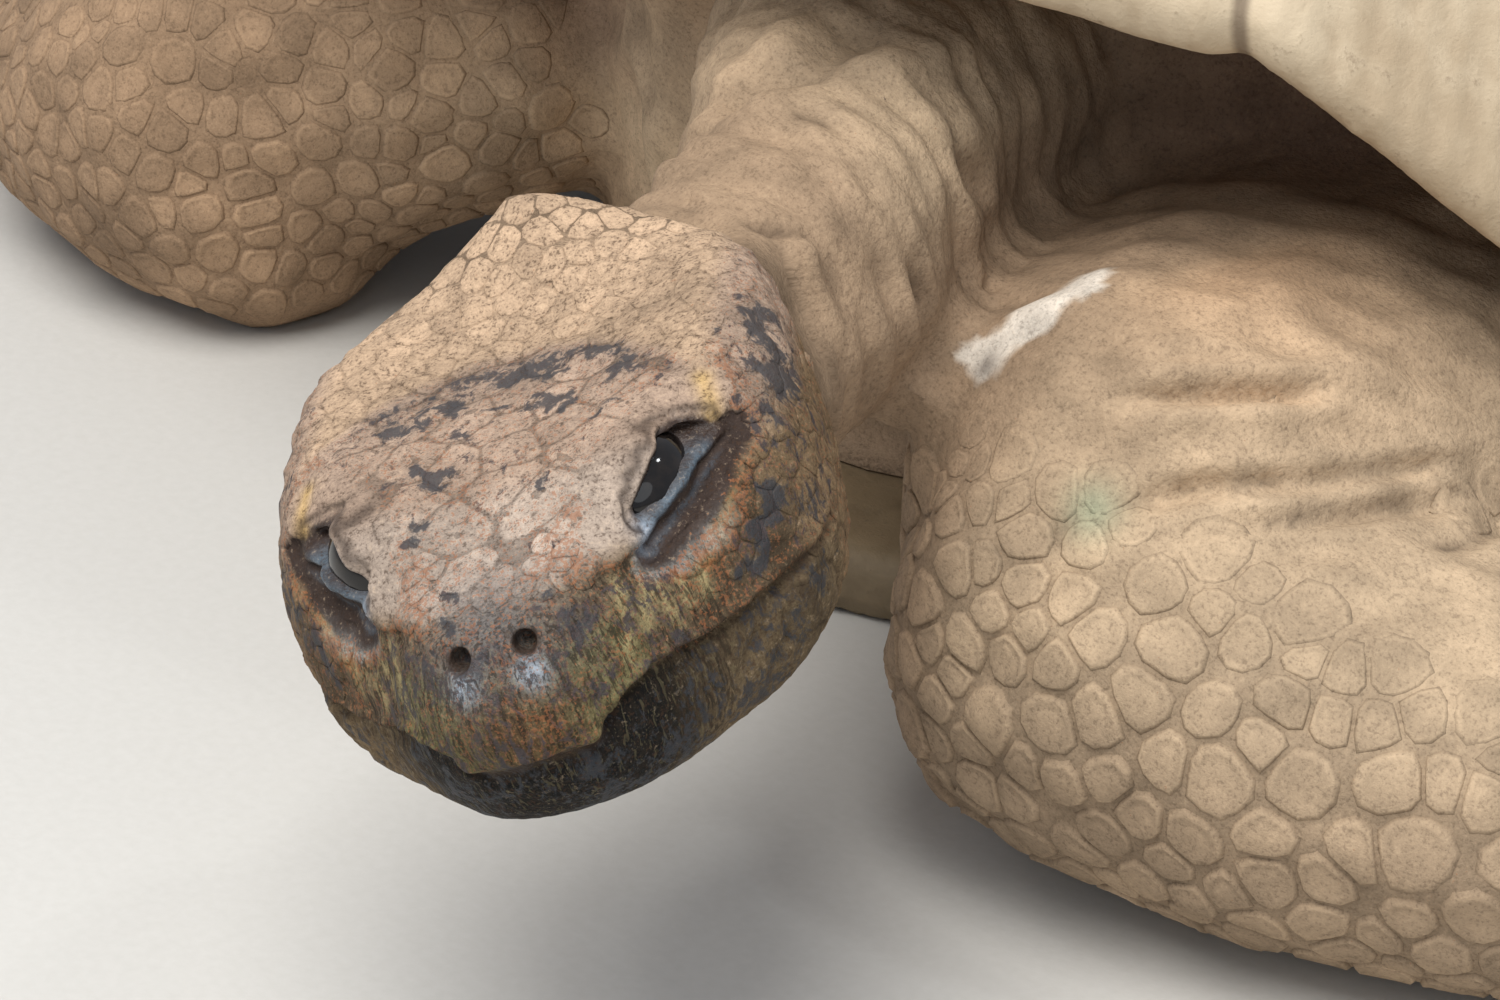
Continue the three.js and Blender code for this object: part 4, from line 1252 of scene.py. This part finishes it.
def mesh_of(name, points, faces, spots):
    """One object from many like pieces: their points, the faces of one, and their spots on the sheet."""
    each = points.shape[1]
    starts = range(0, each * len(points), each)
    mesh = bpy.data.meshes.new(name)
    mesh.from_pydata(
        points.reshape(-1, 3), [], [tuple(i + start for i in face) for start in starts for face in faces]
    )
    piece = bpy.data.objects.new(name, mesh)
    scene.collection.objects.link(piece)
    corner = read(mesh.loops, "vertex_index", kind=np.int32)
    layer = mesh.uv_layers.new(name="OFBake")
    layer.data.foreach_set("uv", np.clip(spots.reshape(-1, 2)[corner], 0, 1).astype(np.float32).ravel())
    only(piece)
    bpy.ops.object.shade_smooth()
    return piece


def scale_coat(name, seeds, chosen, profile, count, gap, rounding, seed):
    """One mesh of closed scales. The profile is (share of the reach, height in mm, shade) per ring."""
    where, outward, sheet, room, height = seeds
    first, second, reach = reaches(where, outward, room, count, gap, rounding)
    where, outward, sheet, height, first, second, reach = pick(
        chosen, where, outward, sheet, height, first, second, reach
    )
    turn = turns(count)
    edge = where[:, None] + reach[:, :, None] * around(first, second, turn)
    step = onto_skin(edge.reshape(-1, 3), np.repeat(outward, count, 0)).reshape(len(where), count)
    lies_flat = (np.abs(step) < 0.001 + 0.35 * reach).all(1)
    where, outward, sheet, height, first, second, reach, step = pick(
        lies_flat, where, outward, sheet, height, first, second, reach, step
    )
    draw = np.random.default_rng(seed)
    own = draw.normal(1, 0.06, len(where))
    lean = draw.uniform(-0.25, 0.25, (len(where), 2))
    rings, spots, shades = [], [], []
    for share, rise, shade in profile:
        steps = 1 if share == 0 else count
        cos, sin = np.cos(turn[:steps]), np.sin(turn[:steps])
        out = share * reach[:, :steps]
        flat = where[:, None] + out[:, :, None] * around(first, second, turn[:steps])
        tilt = lean[:, :1] * cos + lean[:, 1:] * sin
        raised = rise * height[:, None] * (1 + (rise > 0) * share * tilt)
        way = np.repeat(outward, steps, 0)
        leeway = (0.001 + 0.35 * out).ravel()
        moved = np.clip(onto_skin(flat.reshape(-1, 3), way), -leeway, leeway) + raised.ravel() * MM
        landed = flat.reshape(-1, 3) + way * moved[:, None]
        rings.append(landed.reshape(len(where), steps, 3))
        spots.append(np.stack(np.broadcast_arrays(share * cos, share * sin), -1))
        shades.append(np.full((len(where), steps), shade) * own[:, None])
    lowest = 1.5 * profile[0][1] * MM + np.min(np.minimum(step, 0), 1, keepdims=True)
    rings.append((where + outward * lowest)[:, None])
    spots.append(np.zeros((1, 2)))
    shades.append(np.ones((len(where), 1)))
    points = np.concatenate(rings, 1)
    spots = sheet[:, None] + np.concatenate(spots, 0)[None] * PATCH / 2
    piece = mesh_of(name, points, scale_faces(len(profile) - 1, count), spots)
    print(name + ":", len(where), "scales,", triangles(piece), "triangles")
    return piece, np.concatenate(shades, 1).ravel()


# %% [markdown]
# ## Scales of the head
# The crown carries small flat plates, the brow and the snout a few large ones with faint seams, and
# the sides small rounded ones that get finer round the eyes and at the throat, with larger ones
# behind the corner of the mouth. The beak, the lids and the pit of each nostril carry none.


# %% The room of each head scale
SIDE_ROOM, CROWN_ROOM, BROW_ROOM = 6.2, 7.6, 14.0  # millimetres from one scale to the next
EYE_ROOM, CHEEK_ROOM, THROAT_ROOM = 4.3, 12, 5.4
PLATE_ROOM = 0.0105  # metres, above which a scale is one of the large plates
FLAT_SCALE = [  # share of the reach, height in mm, shade
    (1.02, -0.8, 0.6),
    (1.0, 0.08, 0.88),
    (0.9, 0.3, 1.0),
    (0.55, 0.38, 1.02),
    (0, 0.4, 1.02),
]
BROW_SEEDS = [
    *((3, 2, 33), (28, -8, 33), (-27, 4, 33), (4, -26, 31)),
    *((-24, -20, 31), (26, -30, 30), (12, -50, 26), (-10, -50, 26)),
]


def head_room(where):
    """The spacing of the head's scales, in millimetres, and how high they stand."""
    near = in_head(where)
    x, y, z = near.T
    fold = mirrored(near)
    e = eye_distance(where)
    line = above_path(fold, MOUTH)
    crown = ramp(-2, 4, y - crown_edge(x)) * ramp(8, 18, z)
    brow = (1 - crown) * ramp(10, 20, z) * ramp(60, 44, np.abs(x)) * ramp(40, 30, y)
    cheek = ramp(0, -4, line) * ramp(-36, -28, y) * ramp(10, 0, y)
    throat = ramp(-30, -42, z) * ramp(-20, 0, y)
    room = SIDE_ROOM + 1.2 * ramp(20, -10, y)
    for share, own_room in (
        (crown, CROWN_ROOM),
        (brow, BROW_ROOM),
        (ramp(32, 15, e), EYE_ROOM),
        (cheek, CHEEK_ROOM),
        (throat, THROAT_ROOM),
    ):
        room = room + share * (own_room - room)
    height = 0.85 - 0.2 * crown - 0.2 * brow + 0.3 * ramp(20, 13, e)
    beak = (y < -56) & (z < 6 + 0.14 * np.abs(x))
    jaw = (line < 1.5) & (y < -32) | (line < 0) & (y < -24) & (z < -38)
    mouth = path_distance(fold, MOUTH)[0] < 3
    hole = away_from(fold, NOSTRIL) < 8.5
    bare = beak | jaw | mouth | hole | (e < 12.3) | (y > 84) | (y < -74)
    return np.where(bare, 0, room), height


# %% Head scales
CLOSER = 0.93  # how near two seeds may be, as a share of their room
where, outward, sheet = drop(["head", "lower_jaw"], 26000, 51)
brow_places = from_head(np.array(BROW_SEEDS, float))
brow_first = np.array([np.argmin(((where - place) ** 2).sum(1)) for place in brow_places])
order = np.concatenate([brow_first, np.setdiff1d(np.arange(len(where)), brow_first)])
where, outward, sheet = pick(order, where, outward, sheet)
room, height = head_room(where)
kept = keep_apart(where, room * CLOSER * MM)
seeds = pick(kept, where, outward, sheet, room * MM, height)
small = seeds[3] < PLATE_ROOM
head_coats = [
    scale_coat("head_scales", seeds, small, FLAT_SCALE, 12, 0.00016, 18, 61),
    scale_coat("brow_plates", seeds, ~small, FLAT_SCALE, 28, 0.0004, 22, 62),
]
on_the_head = np.flatnonzero(head_share > 0)
between = np.zeros(len(skin_points))  # the skin in the seams between scales is made darker
seam_room = head_room(skin_points[on_the_head])[0]
between[on_the_head] = np.where(seam_room > 10, 0.4, 0.14 * (seam_room > 0))
for piece, shade in head_coats:
    wear(piece, np.ones(len(piece.data.vertices)), shade)

# %% [markdown]
# ## Scales of the legs and the tail
# The outer sides of the legs carry round scales up to 18 mm across, each with a raised rim, a lower
# ring and a worn middle, and with soft skin between them. They are largest low on the front of the
# foreleg, grow faint towards its folds, and leave its top, polished by the shell, bare.

# %% The room of each leg scale
ROUND_SCALE = [  # share of the reach, height in mm, shade
    (1.05, -2.4, 0.55),
    (1.0, 0.0, 0.7),
    (0.86, 1.15, 1.03),
    (0.66, 0.7, 0.9),
    (0.42, 1.0, 1.0),
    (0, 0.8, 0.97),
]


def leg_room(where, kind):
    """The spacing of the scales on one leg or the tail, in millimetres, and how high they stand."""
    place = where / MM
    x, y, z = place.T
    room = np.full(len(z), 12.5)
    height = np.full(len(z), 0.62)
    if kind == "foreleg_left":
        room = 11.5 + 3.5 * ramp(130, 80, z)
        line = np.maximum(129 - 0.34 * np.maximum(x - 271, 0), 88)  # where they grow faint
        clear = ramp(14, -16, z - line)
        polished = hump(away_from(place, (235, -350, 190)), 75)
        height = 0.12 + 0.98 * clear * (1 - polished)
        room = np.where((clear < 0.1) | (polished > 0.7), 0, room)
        for path, _, width in LEG_FOLDS[:4]:
            room = np.where(path_distance(place, path)[0] < width * 1.6, 0, room)
    elif kind.startswith("foreleg"):
        height = 0.35 + 0.35 * ramp(120, 60, z)
        room = np.where((z > 200) & (y > -330), 0, room)
    elif kind == "tail":
        room = room * 0.62
    room = np.where(open_ways(where, shell_tree) < 4, 0, room)
    return np.where(z < 15, 0, room), height


# %% Leg and tail scales
SCALY = ("foreleg_left", "foreleg_right", "hindleg_left", "hindleg_right", "tail")
leg_coats = []
for number, kind in enumerate(SCALY):
    regions = [name for name in FLESH if name.startswith(kind)]
    where, outward, sheet = drop(regions, 9000, 52 + number)
    room, height = leg_room(where, kind)
    room = room * np.random.default_rng(90 + number).uniform(0.75, 1.2, len(room))
    here = np.flatnonzero(np.isin(region, regions))
    skin_room, skin_height = leg_room(skin_points[here], kind)
    between[here] = 0.22 * (skin_room > 0) * skin_height
    kept = keep_apart(where, room * CLOSER * MM)
    seeds = pick(kept, where, outward, sheet, room * MM, height)
    piece, shade = scale_coat(
        kind + "_scales", seeds, slice(None), ROUND_SCALE, 12, 0.0005, 9, 70 + number
    )
    wear(piece, np.zeros(len(piece.data.vertices)), shade)
    leg_coats.append(piece)
coats = [piece for piece, _ in head_coats] + leg_coats
wear(skin, head_share, 1 - smoothed(skin, between, 2))

# %% [markdown]
# ## Finishes
# A finish is written as plain sums. A Wire is one output of a shader node, and adding or multiplying
# wires puts in the maths nodes. The patterns are seeded noises drawn in the animal's own places.


# %% Wires between shader nodes
class Wire:
    """One output of a shader node, or of a sum of them."""

    def __init__(self, tree, output):
        self.tree, self.output = tree, output

    def maths(self, kind, *terms):
        """A maths node of some kind in this wire's tree. All its terms are given, this wire too."""
        node = self.tree.nodes.new("ShaderNodeMath")
        node.operation = kind
        for slot, given in zip(node.inputs, terms):
            feed(self.tree, slot, given)
        return Wire(self.tree, node.outputs[0])

    def __add__(self, other):
        return self.maths("ADD", self, other)

    def __radd__(self, other):
        return self.maths("ADD", other, self)

    def __sub__(self, other):
        return self.maths("SUBTRACT", self, other)

    def __rsub__(self, other):
        return self.maths("SUBTRACT", other, self)

    def __mul__(self, other):
        return self.maths("MULTIPLY", self, other)

    def __rmul__(self, other):
        return self.maths("MULTIPLY", other, self)

    def __truediv__(self, other):
        return self.maths("DIVIDE", self, other)

    def step(self, low, high):
        """0 below one value, 1 above the other, smooth in between."""
        node = self.tree.nodes.new("ShaderNodeMapRange")
        node.interpolation_type = "SMOOTHSTEP"
        for name, given in (("Value", self), ("From Min", low), ("From Max", high)):
            feed(self.tree, node.inputs[name], given)
        return Wire(self.tree, node.outputs[0])


def feed(tree, slot, given):
    """Links a wire to a socket, or sets the socket to a plain value."""
    if isinstance(given, Wire):
        tree.links.new(given.output, slot)
    else:
        slot.default_value = given


# %% Materials from wires
class Finish:
    """A material under construction, with its Principled surface."""

    def __init__(self, name, **fixed):
        self.material = bpy.data.materials.new(name)
        self.material.use_nodes = True
        self.tree = self.material.node_tree
        self.surface = self.tree.nodes["Principled BSDF"]
        for slot, value in fixed.items():
            self.surface.inputs[slot.replace("_", " ")].default_value = value

    def node(self, kind, output, settings=None, **given):
        """One shader node: its kind, the output that is wanted, its settings, and its inputs.

        An input is given by its name, or as _2 by its number, where several share one name.
        """
        node = self.tree.nodes.new("ShaderNode" + kind)
        for name, value in (settings or {}).items():
            setattr(node, name, value)
        for name, value in given.items():
            which = int(name[1:]) if name[1:].isdigit() else name.replace("_", " ")
            feed(self.tree, node.inputs[which], value)
        return Wire(self.tree, node.outputs[output])

    def kept(self, name, output="Vector"):
        """A number, colour or place that each point of the mesh keeps."""
        return self.node("Attribute", output, {"attribute_name": name})

    def place_in_mm(self):
        return self.scaled(self.node("TexCoord", "Object"), (1000, 1000, 1000))

    def noise(self, where, size, detail, roughness=0.55, warp=0.0):
        looks = {"Detail": detail, "Roughness": roughness, "Distortion": warp}
        return self.node("TexNoise", "Fac", Vector=where, Scale=1 / size, **looks)

    def cells(self, where, size):
        return self.node("TexVoronoi", "Distance", Vector=where, Scale=1 / size)

    def blend(self, share, first, second):
        return self.node("Mix", 2, {"data_type": "RGBA"}, _0=share, _6=first, _7=second)

    def scaled(self, where, by):
        return self.node("VectorMath", 0, {"operation": "MULTIPLY"}, _0=where, _1=by)

    def tinted(self, color, share):
        """A colour made darker or lighter by a share."""
        return self.node("VectorMath", 0, {"operation": "SCALE"}, _0=color, Scale=share)

    def done(self, color, roughness, height, distance):
        feed(self.tree, self.surface.inputs["Base Color"], color)
        feed(self.tree, self.surface.inputs["Roughness"], roughness)
        bump = self.node("Bump", "Normal", Height=height, Distance=distance, Strength=1.0)
        feed(self.tree, self.surface.inputs["Normal"], bump)
        return self.material


def solid(color):
    return (*[float(v) for v in color], 1.0)


# %% [markdown]
# ## The hide's finish
# Real hide is never one colour: dust sits on the high places and painted shade darkens the creases,
# folds and pits, the horn of the head breaks into small blue-black and rusty flecks, and the skin
# between is finely grained. The kept colour is varied by noise, and the kept shares are broken up by
# it into patches. Skin and scales wear the same finish, but only the skin has the grain.

# %% Hide
PEBBLE = 2.3  # millimetres, the grain of the hide
RELIEF = 0.0009  # metres, of the hide's finest forms


def hide_finish(finish_name, grained):
    hide = Finish(finish_name, IOR=1.45, Specular_IOR_Level=0.25)
    where = hide.kept("place")
    tone = hide.kept("tone", "Color")
    shares = hide.node("SeparateXYZ", 0, Vector=hide.kept("shares"))
    dark, rust, groove = (Wire(hide.tree, shares.output.node.outputs[i]) for i in range(3))
    wet, streaked, lively = (hide.kept(name, "Fac") for name in ("wet", "streaked", "lively"))

    broad = hide.noise(where, 16, 3)
    small = hide.noise(where, 2.4, 4, 0.65)
    flecks = hide.noise(where, 0.9, 3, 0.6)
    torn = hide.noise(hide.scaled(where, (1.0, 0.8, 0.55)), 3.4, 5, 0.7, 0.6)
    dust = hide.noise(where, 0.5, 1, 0.6)
    uneven = (broad - 0.5) * 0.8 + (small - 0.5) * 1.2 + (flecks - 0.5) * 0.9 + (dust - 0.5) * 0.5
    color = hide.tinted(tone, 1.0 + uneven * lively)
    pale = (small * 0.5 + flecks * 0.5).step(0.55, 0.66) * 0.34 * lively
    color = hide.blend(pale, color, solid(PALE_AND_LIT_HIDE))

    streak = hide.noise(hide.scaled(where, (1.0, 1.0, 0.14)), 1.3, 3, 0.6, 0.5)
    color = hide.blend(streak.step(0.55, 0.65) * streaked * 0.2, color, solid(STREAK_LIGHT))
    color = hide.blend(streak.step(0.5, 0.4) * streaked * 0.72, color, solid(STREAK_DARK))
    rusty = (rust + (torn - 0.5) * 1.3 + (flecks - 0.5) * 2.1 - 0.06).step(0.46, 0.62) * 0.6
    color = hide.blend(rusty, color, solid(RUST))
    patch = dark + (torn - 0.5) * 1.7 + (broad - 0.5) * 0.9 + (flecks - 0.5) * 0.5
    patch = patch.step(0.42, 0.68)
    color = hide.blend(patch * 0.86, color, solid(BLUE_BLACK))
    grit = (flecks * 0.6 + small * 0.4).step(0.47, 0.39) * 0.5 * lively
    color = hide.blend(grit, color, solid(GRIT))
    # painted shade in the grooves, folds and pits
    color = hide.blend(groove * 0.85, color, solid(CREASE_SHADE))

    height = small * 0.5 + flecks * 0.35 + dust * 0.15
    if grained:
        pebbles = hide.cells(where, PEBBLE).step(0.72, 0.35)
        color = hide.blend((1 - pebbles) * 0.08, color, solid(BETWEEN_PEBBLES))
        height = height + pebbles * 0.16
    height = height * (0.4 + 0.6 * lively) + streak * streaked * 0.3
    rough = 0.8 - 0.2 * patch - 0.52 * wet + 0.1 * small
    return hide.done(color, rough, height, RELIEF)


hide = hide_finish("hide", True)
scale_horn = hide_finish("scale_horn", False)
print("finishes of the flesh:", hide.name, scale_horn.name)

# %% [markdown]
# ## Horn, claws, eyes and floor
# Shell horn grows in rings along each plate's border, so its rings are waves of the distance that
# each point keeps. Dust lightens the high places and earth darkens the seams. The eye is nearly
# black and wet, the claws are dull horn streaked along their length.


# %% Horn, claws, eyes and floor
def horn_finish(name, color, light, dark, ring_height):
    """Shell horn of a main, a light and a dark colour, with rings of some height."""
    horn = Finish(name, IOR=1.5)
    where = horn.place_in_mm()
    border = horn.kept("border", "Fac")
    seam = horn.kept("seam", "Fac")
    border = border.maths("MINIMUM", border, seam.maths("ABSOLUTE", seam))
    broad = horn.noise(where, 60, 3)
    mid = horn.noise(where, 11, 4, 0.6, 0.4)
    fine = horn.noise(where, 1.6, 3, 0.65)
    wander = border + (broad - 0.5) * 14 + (mid - 0.5) * 3
    rings = wander.maths("SINE", wander * 0.75) * 0.5 + 0.5
    worn = border.step(4, 16) * (1 - border.step(60, 95) * 0.5)
    tone = horn.blend((broad * 0.8 + mid * 0.4).step(0.42, 0.74), solid(color), solid(light))
    tone = horn.blend((mid * 0.7 + fine * 0.4).step(0.62, 0.76) * 0.5, tone, solid(dark))
    tone = horn.blend((1 - rings) * worn * ring_height * 0.2, tone, solid(dark))
    dirt = 1 - border.step(0.6, 3.4)
    tone = horn.blend(dirt * 0.75, tone, solid(dark * 0.6))
    height = rings * ring_height * worn + mid * 0.45 + fine * 0.22
    return horn.done(tone, 0.56 + 0.22 * mid, height, 0.0011)


def claw_finish():
    claw = Finish("claw_horn", IOR=1.5)
    where = claw.place_in_mm()
    broad = claw.noise(where, 14, 4)
    streak = claw.noise(claw.scaled(where, (1.0, 0.25, 0.7)), 2.0, 5, 0.6)
    share = (broad * 0.6 + streak * 0.5).step(0.4, 0.7)
    tone = claw.blend(share, solid(paint(62, 52, 44)), solid(paint(112, 96, 78)))
    return claw.done(tone, 0.4 + 0.3 * streak, streak + broad * 0.4, 0.0006)


def eye_finish():
    eye = Finish("wet_eye", IOR=1.38, Coat_Weight=0.3, Coat_Roughness=0.02)
    where = eye.place_in_mm()
    cloud = eye.noise(where, 5, 3)
    tone = eye.blend(cloud.step(0.4, 0.7), solid(paint(16, 13, 12)), solid(paint(30, 24, 20)))
    return eye.done(tone, 0.05 + 0.05 * cloud, cloud, 0.00002)


def floor_finish():
    ground = Finish("pale_floor")
    where = ground.node("TexCoord", "Object")
    grain = ground.noise(where, 0.004, 3)
    tone = ground.blend(grain, solid(paint(196, 194, 188)), solid(paint(206, 204, 199)))
    return ground.done(tone, 0.8 + 0.05 * grain, grain, 0.0001)


# %% Putting the finishes on
dome_horn = horn_finish("dome_horn", paint(128, 112, 90), paint(162, 144, 116), paint(78, 62, 46), 0.8)
rim_horn = horn_finish("rim_horn", paint(172, 152, 124), paint(198, 180, 152), paint(118, 96, 74), 0.28)
belly_horn = horn_finish("belly_horn", paint(112, 96, 72), paint(140, 122, 94), paint(70, 56, 42), 0.5)
claw_horn, wet_eye, pale_floor = claw_finish(), eye_finish(), floor_finish()


def put_on(thing, finish):
    thing.data.materials.clear()
    thing.data.materials.append(finish)


def finish_of(node):
    """The finish that a solid wears, and so does the piece that is dressed over it."""
    if node in SHELL:
        return dome_horn if node in DOME else rim_horn if node in RIM else belly_horn
    return claw_horn if "claw" in node else wet_eye if node.startswith("eye") else hide


put_on(floor, pale_floor)
put_on(skin, hide)
for piece in coats:
    put_on(piece, scale_horn)
for piece in [*shell_pieces, *claws, *eyes]:
    put_on(piece, finish_of(piece.name.removesuffix("_horn").removesuffix("_ball")))
for node in nodes:
    put_on(nodes[node], finish_of(node))
print("finishes:", sorted(material.name for material in bpy.data.materials if material.users))

# %% [markdown]
# ## Riding on the body
# A tortoise at rest is one body, so every piece rides on the root, and the skin stands for all the
# solids of flesh. Smoothing and noise may push a point a hair past the solids' box, so the points
# are held just inside it first.

# %% Ride
INSIDE = 1e-5  # metres
lowest, highest = np.array(cad_low) + INSIDE, np.array(cad_high) - INSIDE
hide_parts(*FLESH)
for piece in [skin, *coats, *shell_pieces, *claws, *eyes]:
    set_points(piece, np.clip(points_of(piece), lowest, highest))
    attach(piece, "root")

# %% [markdown]
# ## Sizes
# The outer size of the solids is printed.

# %% Sizes
print("solids' bounds:", [round(v, 4) for v in cad_low], [round(v, 4) for v in cad_high])
